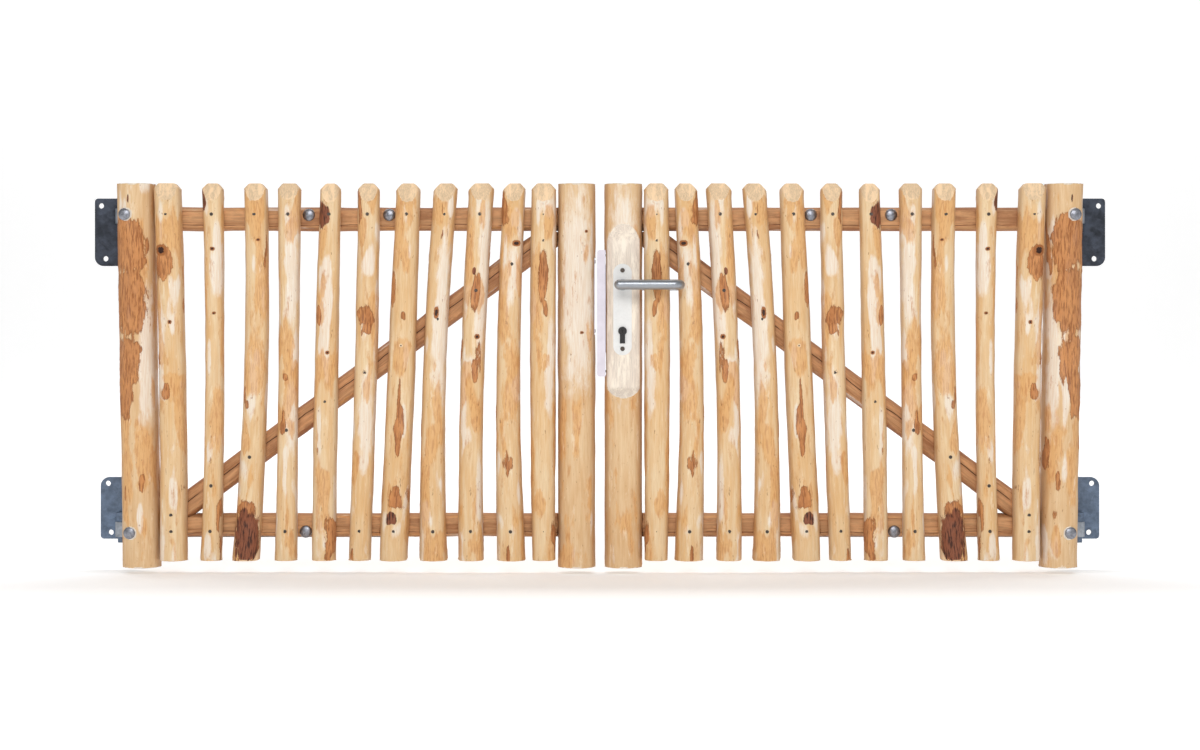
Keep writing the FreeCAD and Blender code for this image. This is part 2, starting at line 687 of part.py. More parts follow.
def rail(leaf, side, level):
    """Flattened pole between the posts, with hollowed shoulders and round tenons."""
    name = f"{leaf}_{level}_rail"
    strap_z, rail_z = levels[level]
    start, wide = across(side, closing_x, hinge_x)
    trunk = rod(f"{name}_trunk", "x", start, rail_y, rail_z, "rail_thick / 2", wide)
    slab = box(f"{name}_slab", start, seat_y, f"{rail_z} - rail_thick", wide, "rail_deep", "2 * rail_thick")
    shaped = cut(f"{name}_shaped", common(f"{name}_flat", trunk, slab), cope_tools(name, side))
    near = f"({closing_x} + post_thick / 2 - tenon_long)"
    far = f"({inner_x} + {hinge_tenon_long})"
    tenon_start, tenon_wide = across(side, near, far)
    tenons = rod(f"{name}_tenons", "x", tenon_start, rail_y, rail_z, "tenon_r", tenon_wide)
    tools = screw_holes(name, side, 2 if level == "upper" else 0)
    for x, kind in strap_bolts(level)[1:]:
        tools.append(rod(f"{name}_bolt_hole", "y", f"{side} * {x}", f"{seat_y} - cut_past", strap_z,
                         "bolt_r + bolt_clear", "rail_deep + 2 * cut_past"))
        if kind == "sunk":
            tools.append(rod(f"{name}_bolt_sink", "y", f"{side} * {x}", f"{seat_y} - cut_past", strap_z,
                             "bolt_head_r + bolt_clear", "cut_past + bolt_sunk"))
    if level == "lower":
        tools.append(brace_blank(f"{name}_housing", side, "fit_clear"))
        under_brace = f"({inner_x} - rail_thick / 4)"
        end_start, end_wide = across(side, under_brace, hinge_x)
        tools.append(box(f"{name}_housing_end", end_start, f"{seat_y} - cut_past",
                         f"{rail_z} + rail_thick / 2 - housing_deep - fit_clear", end_wide,
                         "rail_deep + 2 * cut_past", "rail_thick"))
    keep(name, cut(f"{name}_cut", join(f"{name}_whole", [shaped, tenons]), tools))


# ---------------------------------------------------------------- palings

def leaning_box(name, x, y, z, axis, angle, low, size):
    """A cutting block that leans away from its lower edge; low is its corner before leaning."""
    item = doc.addObject("Part::Box", name)
    bind(item, Length=size[0], Width=size[1], Height=size[2])
    turn = Rotation(Vector(*axis), number(angle))
    shift = turn.multVec(Vector(*[number(part) for part in low]))
    place(item, f"{x} + {shift.x}", f"{y} + {shift.y}", f"{z} + {shift.z}", axis, angle)
    return item


def paling(leaf, side, count):
    """A round pole with a planed back and a head cut by hand to three facets."""
    name = f"{leaf}_paling_{count}"
    heights = {"foot": "paling_foot_z", "waist": waist_z, "head": "gate_tall"}
    sections = []
    for station, z in heights.items():
        x = f"{side} * {paling_x(count, f'{station}_stray_{count}')}"
        sections.append((x, paling_y, z, f"{station}_thick_{count} / 2"))
    trunk = pole(f"{name}_trunk", sections)
    head_x = sections[2][0]
    head_r = f"head_thick_{count} / 2"
    slab = box(f"{name}_slab", f"{head_x} - 100", f"{seat_y} - 100", "0", "200", "100", "gate_tall + 1")
    tools = [
        leaning_box(f"{name}_bevel", head_x, f"{paling_y} - {head_r}", "gate_tall - bevel_tall",
                    (-1, 0, 0), "bevel_angle", (-60, -60, 0), (120, 60, 120)),
        leaning_box(f"{name}_shoulder_left", f"{head_x} - {head_r}", paling_y,
                    "gate_tall - shoulder_tall", (0, 1, 0), "shoulder_angle", (-60, -60, 0),
                    (60, 120, 60)),
        leaning_box(f"{name}_shoulder_right", f"{head_x} + {head_r}", paling_y,
                    "gate_tall - shoulder_tall", (0, -1, 0), "shoulder_angle", (0, -60, 0),
                    (60, 120, 60)),
    ]
    for x, z, radius in screw_places(count):
        tools.append(rod(f"{name}_hole", "y", f"{side} * {x}", f"{paling_y} - 60", z,
                         "screw_r + screw_clear", "120"))
        tools.append(rod(f"{name}_sink", "y", f"{side} * {x}",
                         f"{paling_y} - {radius} + screw_sunk - 20", z,
                         "screw_head_r + screw_clear", "20"))
    keep(name, cut(f"{name}_cut", common(f"{name}_flat", trunk, slab), tools))


def paling_screws(leaf, side):
    """Three wood screws through each paling into the rails and the brace."""
    name = f"{leaf}_paling_screws"
    screws = []
    for count in range(1, len(grown_palings) + 1):
        for index, (x, z, radius) in enumerate(screw_places(count)):
            seat = f"({paling_y} - {radius} + screw_sunk)"
            label = f"{name}_{count}_{index}"
            screws.append(rod(f"{label}_shank", "y", f"{side} * {x}", seat, z, "screw_r",
                              f"screw_tip_y - {seat}"))
            screws.append(rod(f"{label}_head", "y", f"{side} * {x}", f"{seat} - screw_head_tall", z,
                              "screw_head_r", "screw_head_tall"))
    keep(name, join(f"{name}_all", screws))


# ---------------------------------------------------------------- hinges

def strap(leaf, side, level):
    """Flat strap along the back, rolled into an eye around the pin."""
    name = f"{leaf}_{level}_strap"
    strap_z = levels[level][0]
    low_z = f"{strap_z} - strap_tall / 2"
    last_x = strap_bolts(level)[-1][0]
    start, wide = across(side, f"({last_x} - strap_past)", pin_x)
    bar = box(f"{name}_bar", start, "rail_back", low_z, wide, "strap_thick", "strap_tall")
    eye = rod(f"{name}_eye", "z", f"{side} * {pin_x}", pin_y, low_z, eye_r, "strap_tall")
    tools = [rod(f"{name}_bore", "z", f"{side} * {pin_x}", pin_y, f"{low_z} - 1",
                 "pin_r + pin_clear", "strap_tall + 2")]
    for x, kind in strap_bolts(level):
        tools.append(rod(f"{name}_hole", "y", f"{side} * {x}", "rail_back - 1", strap_z,
                         "bolt_r + bolt_clear", "strap_thick + 2"))
    keep(name, cut(f"{name}_cut", join(f"{name}_whole", [bar, eye]), tools))


def hinge_bolts(leaf, side):
    """Carriage bolts from the front, each with a washer and a nut behind the strap."""
    name = f"{leaf}_hinge_bolts"
    pieces = []
    washer_y = "(rail_back + strap_thick)"
    nut_y = f"({washer_y} + washer_thick)"
    for level, (strap_z, rail_z) in levels.items():
        for index, (offset, kind) in enumerate(strap_bolts(level)):
            label = f"{name}_{level}_{index}"
            x = f"{side} * {offset}"
            seat = head_seats[kind]
            shank = rod(f"{label}_shank", "y", x, seat, strap_z, "bolt_r",
                        f"{nut_y} + nut_tall + bolt_past - {seat}")
            head = dome(f"{label}_head", "y", x, f"{seat} - bolt_head_tall", strap_z,
                        "bolt_head_r * 0.6", "bolt_head_r", "bolt_head_tall")
            pieces.append(join(f"{label}_bolt", [shank, head]))
            disc = rod(f"{label}_disc", "y", x, washer_y, strap_z, "washer_r", "washer_thick")
            nut = doc.addObject("Part::Prism", f"{label}_hexagon")
            nut.Polygon = 6
            bind(nut, Circumradius="nut_flats / sqrt(3)", Height="nut_tall")
            place(nut, x, nut_y, strap_z, *pointing["y"])
            for blank, word in ((disc, "washer"), (nut, "nut")):
                bore = rod(f"{label}_{word}_bore", "y", x, f"{washer_y} - 1", strap_z,
                           "bolt_r + bolt_clear / 3", "washer_thick + nut_tall + 2")
                pieces.append(cut(f"{label}_{word}", blank, [bore]))
    group = doc.addObject("Part::Compound", f"{name}_all")
    group.Links = pieces
    keep(name, group)


def pin_plate(leaf, side, level):
    """Plate for the pillar with a welded arm and pin; the upper pin points up, the lower down."""
    name = f"{leaf}_{level}_pin_plate"
    up = 1 if level == "upper" else -1
    middle_z = "(gate_tall - upper_plate_drop)" if level == "upper" else "lower_plate_z"
    strap_z = levels[level][0]
    x = f"{side} * {pin_x}"
    body = doc.addObject("PartDesign::Body", f"{name}_plate")
    far_y = f"({pin_y} + plate_back)"
    face = sketch_in(body, "XZ_Plane", f"-{far_y}")
    half = f"{level}_plate_wide / 2"
    tall = f"{level}_plate_tall / 2"
    rectangle(face, f"{x} - {half}", f"{middle_z} - {tall}", f"{x} + {half}", f"{middle_z} + {tall}")
    pad(body, face, "plate_thick")
    along_y = Vector(0, 1, 0)
    split_z = number(middle_z)
    round_corners(body, along_y, lambda point: (point.z - split_z) * up > 0, "corner_r")
    round_corners(body, along_y, lambda point: (point.z - split_z) * up < 0, "inner_corner_r")
    holes = sketch_in(body, "XZ_Plane", f"-{far_y}")
    rows = {1: f"{level}_outer_half", -1: f"{level}_inner_half"}
    if level == "lower":
        rows = {1: "lower_inner_half", -1: "lower_outer_half"}
    for row, spread in rows.items():
        for turn in (-1, 1):
            circle(holes, f"{x} + {turn} * {spread}", f"{middle_z} + {row} * {level}_hole_half",
                   "plate_hole_r")
    pocket_through(body, holes)
    eye_end = f"({strap_z} - {up} * (strap_tall / 2 + eye_gap))"
    arm_z = f"{eye_end} - arm_tall" if up > 0 else eye_end
    arm = box(f"{name}_arm", f"{x} - arm_r", pin_y, arm_z, "2 * arm_r", "plate_back - plate_thick",
              "arm_tall")
    nose = rod(f"{name}_nose", "z", x, pin_y, arm_z, "arm_r", "arm_tall")
    pin_long = "arm_tall + eye_gap + strap_tall + pin_past"
    pin_z = arm_z if up > 0 else f"{eye_end} + arm_tall - ({pin_long})"
    pin = rod(f"{name}_pin", "z", x, pin_y, pin_z, "pin_r", pin_long)
    keep(name, join(f"{name}_whole", [body, arm, nose, pin]))


# ---------------------------------------------------------------- strike plate and drop bolt

def strike_holes():
    """Height of the middle and height of what enters the strike plate."""
    return {
        "latch": (f"({spindle_z} + latch_rise)", "latch_tall"),
        "bolt": (f"({spindle_z} - bolt_drop)", "bolt_tall"),
    }


def strike_screw_heights():
    return [f"({spindle_z} + strike_over - end_screw_in)", f"({spindle_z} - strike_under + end_screw_in)"]


def drop_screw_heights():
    return ["(drop_plate_z + drop_screw_in)", "(drop_plate_z + drop_plate_tall - drop_screw_in)"]


def strike_plate():
    """Plate with two openings, let into the left closing post's edge."""
    name = "left_strike_plate"
    x = "(-(gap_wide / 2 + strike_sunk) - strike_thick)"
    plate = box(f"{name}_plate", x, "-strike_wide / 2", f"{spindle_z} - strike_under", "strike_thick",
                "strike_wide", "strike_under + strike_over")
    tools = []
    for part, (z, tall) in strike_holes().items():
        tools.append(box(f"{name}_{part}", f"{x} - hole_past", "-latch_thick / 2 - strike_room",
                         f"{z} - {tall} / 2 - strike_room", "strike_thick + 2 * hole_past",
                         "latch_thick + 2 * strike_room", f"{tall} + 2 * strike_room"))
    for z in strike_screw_heights():
        tools.append(rod(f"{name}_hole", "x", f"{x} - hole_past", "0", z, "screw_r + screw_clear",
                         "strike_thick + 2 * hole_past"))
    keep(name, cut(f"{name}_cut", plate, tools))


def drop_bolt():
    """Guide plate on the back of the left closing post, and the rod that slides down in it."""
    x = f"(-{closing_x})"
    plate_y = drop_flat
    axis_y = f"({drop_flat} + drop_plate_thick + drop_axis_out)"
    plate = box("drop_plate", f"{x} - drop_plate_wide / 2", plate_y, "drop_plate_z", "drop_plate_wide",
                "drop_plate_thick", "drop_plate_tall")
    guides = [plate]
    for z in ("drop_plate_z", "(drop_plate_z + drop_plate_tall - guide_tall)"):
        guides.append(box("drop_guide", f"{x} - guide_wide / 2", f"{plate_y} + drop_plate_thick", z,
                          "guide_wide", "2 * drop_axis_out", "guide_tall"))
    tools = [rod("drop_bore", "z", x, axis_y, "drop_plate_z - hole_past",
                 "drop_rod_r + drop_rod_clear", "drop_plate_tall + 2 * hole_past")]
    for z in drop_screw_heights():
        tools.append(rod("drop_screw_hole", "y", x, f"{plate_y} - hole_past", z, "screw_r + screw_clear",
                         "drop_plate_thick + 2 * hole_past"))
    keep("left_drop_bolt_guide", cut("drop_guide_cut", join("drop_guide_whole", guides), tools))
    shaft = rod("drop_shaft", "z", x, axis_y, "drop_rod_z", "drop_rod_r", "drop_rod_long")
    knob = rod("drop_knob", "y", x, axis_y, "knob_z", "knob_r", "knob_out")
    end = round_end("drop_knob_end", "y", x, f"{axis_y} + knob_out", "knob_z", "knob_r * 1.4")
    keep("drop_bolt_rod", join("drop_rod_whole", [shaft, knob, end]))


def left_hardware_screws():
    """Screws of the strike plate and of the drop bolt's guide."""
    pieces = []
    face_x = "(-(gap_wide / 2 + strike_sunk))"
    for z in strike_screw_heights():
        pieces.append(rod("strike_screw_shank", "x", f"{face_x} - strike_thick - plate_screw_long", "0", z,
                          "screw_r", "strike_thick + plate_screw_long"))
        pieces.append(rod("strike_screw_head", "x", face_x, "0", z, "screw_head_r", "flush_head_tall"))
    for z in drop_screw_heights():
        start_y = f"{drop_flat} - drop_screw_long"
        pieces.append(rod("drop_screw_shank", "y", f"-{closing_x}", start_y, z, "screw_r",
                          "drop_screw_long + drop_plate_thick"))
        pieces.append(rod("drop_screw_head", "y", f"-{closing_x}", f"{drop_flat} + drop_plate_thick", z,
                          "screw_head_r", "screw_head_tall"))
    keep("left_hardware_screws", join("left_hardware_screws_all", pieces))


# ---------------------------------------------------------------- mortise lock

def key_profile(name, y, deep, extra):
    """The key cylinder's outline as a solid: a round part over a narrow stem."""
    radius = f"(key_r + {extra})"
    barrel = rod(f"{name}_barrel", "y", spindle_x, y, key_z, radius, deep)
    low_z = f"({key_z} + key_r - key_tall - {extra})"
    stem = box(f"{name}_stem", f"{spindle_x} - stem_wide / 2 - {extra}", y, low_z,
               f"stem_wide + 2 * {extra}", deep, f"{key_z} - {low_z}")
    return join(f"{name}_profile", [barrel, stem])


def cover_screw_heights():
    middle_z = f"({spindle_z} - cover_drop)"
    return [f"({middle_z} + cover_screw_half)", f"({middle_z} - cover_screw_half)"]


def forend_screw_heights():
    return [f"({spindle_z} + forend_over - forend_screw_in)",
            f"({spindle_z} - forend_under + forend_screw_in)"]


key_screw_z = f"({key_z} + key_r - key_tall + 5)"
case_x = "(gap_wide / 2 + forend_thick)"
case_low_z = f"({key_z} - case_under)"
case_tall = "(lock_centres + case_under + case_over)"
cavity_half = "(case_thick / 2 - case_wall)"
latch_z = f"({spindle_z} + latch_rise)"
bolt_z = f"({spindle_z} - bolt_drop)"


def lock_case():
    """Sheet-metal box in the mortise, open towards the forend."""
    name = "lock_case"
    shell = box(f"{name}_shell", case_x, "-case_thick / 2", case_low_z, "case_deep", "case_thick",
                case_tall)
    tools = [
        box(f"{name}_cavity", f"{case_x} - 1", f"-{cavity_half}", f"{case_low_z} + case_wall",
            "case_deep + 1 - case_wall", f"2 * {cavity_half}", f"{case_tall} - 2 * case_wall"),
        rod(f"{name}_spindle_hole", "y", spindle_x, "-case_thick", spindle_z, "spindle_hole_r",
            "2 * case_thick"),
        key_profile(f"{name}_key", "-case_thick", "2 * case_thick", "inner_clear"),
    ]
    for z in cover_screw_heights():
        tools.append(rod(f"{name}_screw_hole", "y", spindle_x, "-case_thick", z,
                         "lock_screw_r + lock_screw_clear", "2 * case_thick"))
    keep(name, cut(f"{name}_cut", shell, tools))


def forend():
    """Angled face plate of the lock; its flange covers the gap between the leaves."""
    name = "lock_forend"
    body = doc.addObject("PartDesign::Body", name)
    low_z = f"({spindle_z} - forend_under)"
    section = sketch_in(body, "XY_Plane", low_z)
    edge_x = "gap_wide / 2"
    back_x = f"({edge_x} + forend_thick)"
    flange_back = "(forend_thick - flange_front)"
    outline(section, [
        (f"{back_x} - flange_wide", "-flange_front"), (back_x, "-flange_front"),
        (back_x, "forend_back"), (edge_x, "forend_back"), (edge_x, flange_back),
        (f"{back_x} - flange_wide", flange_back)])
    pad(body, section, "forend_under + forend_over")
    free_x = number(f"{back_x} - flange_wide")
    round_corners(body, Vector(0, 1, 0), lambda point: abs(point.x - free_x) < 0.1, "flange_wide / 3")
    openings = sketch_in(body, "YZ_Plane", "0")
    reach = "(latch_thick / 2 + inner_clear)"
    for z, tall in strike_holes().values():
        rectangle(openings, f"-{reach}", f"{z} - {tall} / 2 - inner_clear", reach,
                  f"{z} + {tall} / 2 + inner_clear")
    for z in forend_screw_heights() + [key_screw_z]:
        circle(openings, "0", z, "lock_screw_r + screw_clear")
    pocket_through(body, openings)
    keep(name, body)


def cover_plate(name, offset):
    """Plate with round ends over the spindle and the key cylinder."""
    body = doc.addObject("PartDesign::Body", name)
    middle_z = f"({spindle_z} - cover_drop)"
    face = sketch_in(body, "XZ_Plane", offset)
    rectangle(face, f"{spindle_x} - cover_wide / 2", f"{middle_z} - cover_tall / 2",
              f"{spindle_x} + cover_wide / 2", f"{middle_z} + cover_tall / 2")
    pad(body, face, "cover_thick")
    round_corners(body, Vector(0, 1, 0), lambda point: True, "cover_wide / 2 - 0.2")
    holes = sketch_in(body, "XZ_Plane", offset)
    circle(holes, spindle_x, spindle_z, "spindle_hole_r")
    for z in cover_screw_heights():
        circle(holes, spindle_x, z, "lock_screw_r + lock_screw_clear")
    pocket_through(body, holes)
    opening = key_profile(f"{name}_key", "-post_thick", "2 * post_thick", "inner_clear")
    keep(name, cut(f"{name}_cut", body, [opening]))


def lock_screws():
    """Two screws through the cover plates, two in the forend, one that holds the key cylinder."""
    pieces = []
    front_y = "(panel_thick / 2 + cover_thick)"
    for z in cover_screw_heights():
        pieces.append(rod("cover_screw_shank", "y", spindle_x, f"-{front_y}", z, "lock_screw_r",
                          f"2 * {front_y}"))
        for y in (f"-{front_y} - 2", front_y):
            pieces.append(rod("cover_screw_head", "y", spindle_x, y, z, "lock_screw_head_r", "2"))
    for z in forend_screw_heights():
        pieces.append(rod("forend_screw_shank", "x", "gap_wide / 2", "0", z, "lock_screw_r",
                          "forend_screw_long"))
        pieces.append(rod("forend_screw_head", "x", "gap_wide / 2 - flush_head_tall", "0", z,
                          "lock_screw_head_r", "flush_head_tall"))
    pieces.append(rod("key_screw_shank", "x", "gap_wide / 2", "0", key_screw_z, "lock_screw_r",
                      "backset"))
    pieces.append(rod("key_screw_head", "x", "gap_wide / 2 - flush_head_tall", "0", key_screw_z,
                      "lock_screw_head_r", "flush_head_tall"))
    keep("lock_screws", join("lock_screws_all", pieces))


def key_cylinder():
    """Profile cylinder body, cut away for the cam, and the turning plug with its cam."""
    name = "key_cylinder"
    blank = key_profile(name, "-key_long / 2", "key_long", "0")
    slot_half = "(cam_wide / 2 + cam_gap)"
    tools = [
        rod(f"{name}_bore", "y", spindle_x, "-key_long", key_z, "plug_r + plug_clear", "2 * key_long"),
        box(f"{name}_slot", f"{spindle_x} - 2 * key_r", f"-{slot_half}",
            f"{key_z} - cam_reach - cam_gap", "4 * key_r", f"2 * {slot_half}", "4 * key_r"),
        rod(f"{name}_screw_hole", "x", spindle_x + " - 20", "0", key_screw_z,
            "lock_screw_r + screw_clear", "40"),
    ]
    keep(name, cut(f"{name}_cut", blank, tools))
    plug = rod("plug_barrel", "y", spindle_x, "-key_long / 2", key_z, "plug_r", "key_long")
    ring = rod("plug_ring", "y", spindle_x, "-cam_wide / 2", key_z, "cam_r", "cam_wide")
    cam = box("plug_cam", f"{spindle_x} - cam_thick / 2", "-cam_wide / 2", key_z, "cam_thick", "cam_wide",
              "cam_reach - cam_gap")
    keyways = []
    for y in ("-key_long / 2 - hole_past", "key_long / 2 - keyway_deep"):
        keyways.append(box("plug_keyway", f"{spindle_x} - keyway_wide / 2", y, f"{key_z} - keyway_low",
                           "keyway_wide", "keyway_deep + hole_past", "keyway_tall"))
    keep("key_plug", cut("plug_cut", join("plug_whole", [plug, ring, cam]), keyways))


def latch():
    """Spring latch: head in the forend, tail over the follower, hook behind its finger."""
    head_x = "(gap_wide / 2 - latch_throw)"
    head = box("latch_head_block", head_x, "-latch_thick / 2", f"{latch_z} - latch_tall / 2",
               "latch_head", "latch_thick", "latch_tall")
    hook_x = f"({spindle_x} + finger_wide / 2 + hook_gap)"
    tail_z = f"({spindle_z} + finger_reach + 1)"
    tail = box("latch_tail", f"{head_x} + latch_head - 1", "-tail_thick / 2", tail_z,
               f"{hook_x} + hook_wide - {head_x} - latch_head + 1", "tail_thick", "tail_tall")
    hook = box("latch_hook", hook_x, "-tail_thick / 2", f"{tail_z} - 8", "hook_wide", "tail_thick", "9")
    nose = doc.addObject("Part::Box", "latch_nose")
    bind(nose, Length="30", Width="30", Height="latch_tall + 4")
    place(nose, head_x, "latch_thick / 2 - 9", f"{latch_z} - latch_tall / 2 - 2", (0, 0, 1), "42")
    keep("latch_bolt", cut("latch_cut", join("latch_whole", [head, tail, hook]), [nose]))


def dead_bolt():
    """Square bolt thrown by the key, with a tail that reaches down to the cam."""
    block = box("dead_bolt_block", "gap_wide / 2", "-latch_thick / 2", f"{bolt_z} - bolt_tall / 2",
                "bolt_long", "latch_thick", "bolt_tall")
    tail_x = f"(gap_wide / 2 + bolt_long - 1)"
    tail_low = f"({key_z} + cam_reach + 2)"
    tail = box("dead_bolt_tail", tail_x, "-tail_thick / 2", tail_low, "10", "tail_thick",
               f"{bolt_z} + bolt_tall / 2 - {tail_low}")
    keep("dead_bolt", join("dead_bolt_whole", [block, tail]))


def follower():
    """Hub turned by the square spindle; its finger draws the latch back."""
    half = f"({cavity_half} - inner_clear)"
    hub = rod("follower_hub", "y", spindle_x, f"-{half}", spindle_z, "hub_r", f"2 * {half}")
    finger = box("follower_finger", f"{spindle_x} - finger_wide / 2", "-tail_thick / 2", spindle_z,
                 "finger_wide", "tail_thick", "finger_reach")
    square = "(spindle_square + 2 * spindle_clear)"
    hole = box("follower_hole", f"{spindle_x} - {square} / 2", "-case_thick",
               f"{spindle_z} - {square} / 2", square, "2 * case_thick", square)
    keep("lock_follower", cut("follower_cut", join("follower_whole", [hub, finger]), [hole]))


def lever(name, turn):
    """Lever with a neck and a returned end, in front of (turn -1) or behind (turn 1) the gate."""
    cover_y = f"{turn} * (panel_thick / 2 + cover_thick + neck_gap)"
    bar_y = f"{turn} * (panel_thick / 2 + cover_thick + lever_out)"
    end_x = f"({spindle_x} + lever_long)"
    bend_y = f"({bar_y} - {turn} * lever_bend)"
    neck_start = cover_y if turn > 0 else bar_y
    return_start = f"{bar_y} - lever_return" if turn > 0 else bend_y
    bend = doc.addObject("Part::Torus", f"{name}_bend")
    bend.Angle3 = 90
    bind(bend, Radius1="lever_bend", Radius2="lever_r")
    place(bend, f"{end_x} - lever_bend", bend_y, spindle_z, (0, 0, 1), "0" if turn > 0 else "-90")
    pieces = [
        rod(f"{name}_neck", "y", spindle_x, neck_start, spindle_z, "neck_r", "lever_out - neck_gap"),
        rod(f"{name}_bar", "x", f"{spindle_x} - lever_heel", bar_y, spindle_z, "lever_r",
            "lever_heel + lever_long - lever_bend"),
        round_end(f"{name}_heel", "-x", f"{spindle_x} - lever_heel", bar_y, spindle_z, "lever_r"),
        bend,
        rod(f"{name}_return", "y", end_x, return_start, spindle_z, "lever_r",
            "lever_return - lever_bend"),
    ]
    return join(f"{name}_whole", pieces)


def levers():
    """The back lever carries the square spindle; the front lever is socketed on it."""
    socket = "(spindle_square + 2 * spindle_clear)"
    front = lever("front_lever", -1)
    hole = box("front_socket", f"{spindle_x} - {socket} / 2", "-panel_thick / 2 - lever_out + socket_floor",
               f"{spindle_z} - {socket} / 2", socket, "2 * lever_out", socket)
    keep("front_lever", cut("front_lever_cut", front, [hole]))
    back = lever("back_lever", 1)
    spindle = box("back_spindle", f"{spindle_x} - spindle_square / 2",
                  "-panel_thick / 2 - lever_out + socket_floor + spindle_gap",
                  f"{spindle_z} - spindle_square / 2", "spindle_square",
                  "panel_thick + 2 * lever_out - socket_floor - 2 * spindle_gap", "spindle_square")
    keep("back_lever", join("back_lever_all", [back, spindle]))


# ---------------------------------------------------------------- build the gate

for leaf, side in leaves.items():
    for level in levels:
        pin_plate(leaf, side, level)
    hinge_post(leaf, side)
    for level in levels:
        rail(leaf, side, level)
    brace(leaf, side)
    for count in range(1, len(grown_palings) + 1):
        paling(leaf, side, count)
    paling_screws(leaf, side)
    for level in levels:
        strap(leaf, side, level)
    hinge_bolts(leaf, side)
closing_post_left()
strike_plate()
drop_bolt()
left_hardware_screws()
closing_post_right()
lock_case()
forend()
cover_plate("front_cover_plate", "panel_thick / 2")
cover_plate("back_cover_plate", "-panel_thick / 2 - cover_thick")
lock_screws()
key_cylinder()
latch()
dead_bolt()
follower()
levers()

doc.recompute()


# ---------------------------------------------------------------- check and write

def check_document():
    """Stop if any object failed or any piece is empty or broken."""
    for item in doc.Objects:
        if "Invalid" in item.State or "Error" in item.State:
            raise RuntimeError(f"{item.Name} failed: {item.State}")
    for node, item in nodes.items():
        if item.Shape.isNull() or not item.Shape.isValid():
            raise RuntimeError(f"{node} has no valid shape")


def write_parts():
    """One STEP file per piece."""
    os.makedirs("parts", exist_ok=True)
    for node, item in nodes.items():
        item.Shape.exportStep(f"parts/{node}.step")
        print(node, len(item.Shape.Solids), "solid(s)", round(item.Shape.Volume / 1000, 1), "cm3")
    print(len(nodes), "nodes")


check_document()
write_parts()
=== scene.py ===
import itertools
import math
from collections import namedtuple

import bmesh
import bpy
import numpy as np
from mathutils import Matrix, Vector


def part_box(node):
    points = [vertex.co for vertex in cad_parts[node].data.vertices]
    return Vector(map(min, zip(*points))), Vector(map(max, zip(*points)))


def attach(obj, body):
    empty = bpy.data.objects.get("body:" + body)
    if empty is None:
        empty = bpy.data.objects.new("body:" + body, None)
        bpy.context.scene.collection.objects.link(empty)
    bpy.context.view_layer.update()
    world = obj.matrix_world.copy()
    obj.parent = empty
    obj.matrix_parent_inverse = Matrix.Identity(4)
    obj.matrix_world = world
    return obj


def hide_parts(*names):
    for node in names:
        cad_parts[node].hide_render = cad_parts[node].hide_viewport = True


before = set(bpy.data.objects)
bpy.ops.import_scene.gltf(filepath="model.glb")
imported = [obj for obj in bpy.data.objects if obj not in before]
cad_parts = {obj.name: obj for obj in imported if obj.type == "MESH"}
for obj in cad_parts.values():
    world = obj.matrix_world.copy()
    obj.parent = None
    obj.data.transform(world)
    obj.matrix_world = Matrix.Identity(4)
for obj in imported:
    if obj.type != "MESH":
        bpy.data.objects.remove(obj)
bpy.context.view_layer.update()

mm = 0.001


# ---------------------------------------------------------------- palings
# Twenty-two thin debarked poles, planed flat behind and hewn to a blunt head with three cuts.
# Shreds of inner bark, knots and pale sapwood are left on them; each is screwed on from the front.
# The long pale marks, all on the side towards the gate's middle, are painted highlights rather than
# sapwood.

Mark = namedtuple("Mark", "kind across along wide tall")
# A mark on a pole's front, in millimetres: across from its axis towards the gate's middle, height
# above the feet, and its half width and half height.

paling_marks = {
    1: (Mark("knot", -12, 634, 11, 11), Mark("bark", -8, 606, 16, 27), Mark("orange", 4, 364, 24, 25),
        Mark("bark", -10, 350, 8, 14), Mark("orange", 20, 300, 9, 60), Mark("knot", 2, 491, 4, 4)),
    2: (Mark("char", -20, 745, 11, 26), Mark("knot", 0, 637, 5, 4), Mark("knot", 2, 509, 4, 3),
        Mark("bark", -26, 640, 5, 34), Mark("orange", 10, 300, 13, 60), Mark("pale_and_highlight", 10, 590, 12, 50)),
    3: (Mark("orange", 0, 404, 22, 60), Mark("char", -2, 62, 28, 50), Mark("bark", -4, 112, 20, 22),
        Mark("orange", 16, 560, 9, 70), Mark("knot", 6, 655, 4, 3)),
    4: (Mark("bark", -27, 600, 4, 70), Mark("orange", 6, 384, 17, 17), Mark("bark", -4, 380, 6, 8),
        Mark("pale_and_highlight", 10, 600, 15, 110), Mark("pale_and_highlight", 8, 300, 12, 70)),
    5: (Mark("char", -12, 704, 14, 24), Mark("orange", -14, 650, 9, 30), Mark("orange", -14, 513, 13, 28),
        Mark("bark", -18, 500, 7, 18), Mark("bark", 14, 60, 10, 36), Mark("knot", 4, 430, 4, 4)),
    6: (Mark("bark", -2, 502, 18, 26), Mark("bark", 0, 470, 10, 12), Mark("pale_and_highlight", 6, 300, 14, 90)),
    7: (Mark("orange", -17, 668, 12, 68), Mark("bark", -22, 560, 5, 34), Mark("bark", 0, 499, 6, 8),
        Mark("bark", 2, 135, 18, 16), Mark("char", -6, 98, 12, 10), Mark("orange", 2, 430, 16, 34)),
    8: (Mark("pale_and_highlight", 12, 504, 15, 168), Mark("knot", 0, 510, 5, 12), Mark("orange", -12, 700, 14, 30),
        Mark("orange", 0, 250, 12, 40)),
    9: (Mark("pale_and_highlight", 15, 585, 13, 148), Mark("bark", 0, 548, 9, 34), Mark("char", -5, 590, 4, 8),
        Mark("orange", -17, 620, 9, 110), Mark("bark", 6, 396, 6, 26), Mark("knot", 8, 462, 5, 5)),
    10: (Mark("bark", -18, 716, 12, 34), Mark("orange", -6, 700, 18, 44), Mark("knot", 10, 648, 8, 6),
         Mark("pale_and_highlight", 8, 600, 14, 52), Mark("orange", -20, 530, 8, 26), Mark("orange", 8, 380, 16, 90)),
    11: (Mark("bark", 2, 588, 9, 52), Mark("bark", 6, 520, 5, 20), Mark("orange", -10, 560, 12, 90),
         Mark("orange", 6, 413, 10, 10), Mark("pale_and_highlight", 16, 400, 8, 90)),
}


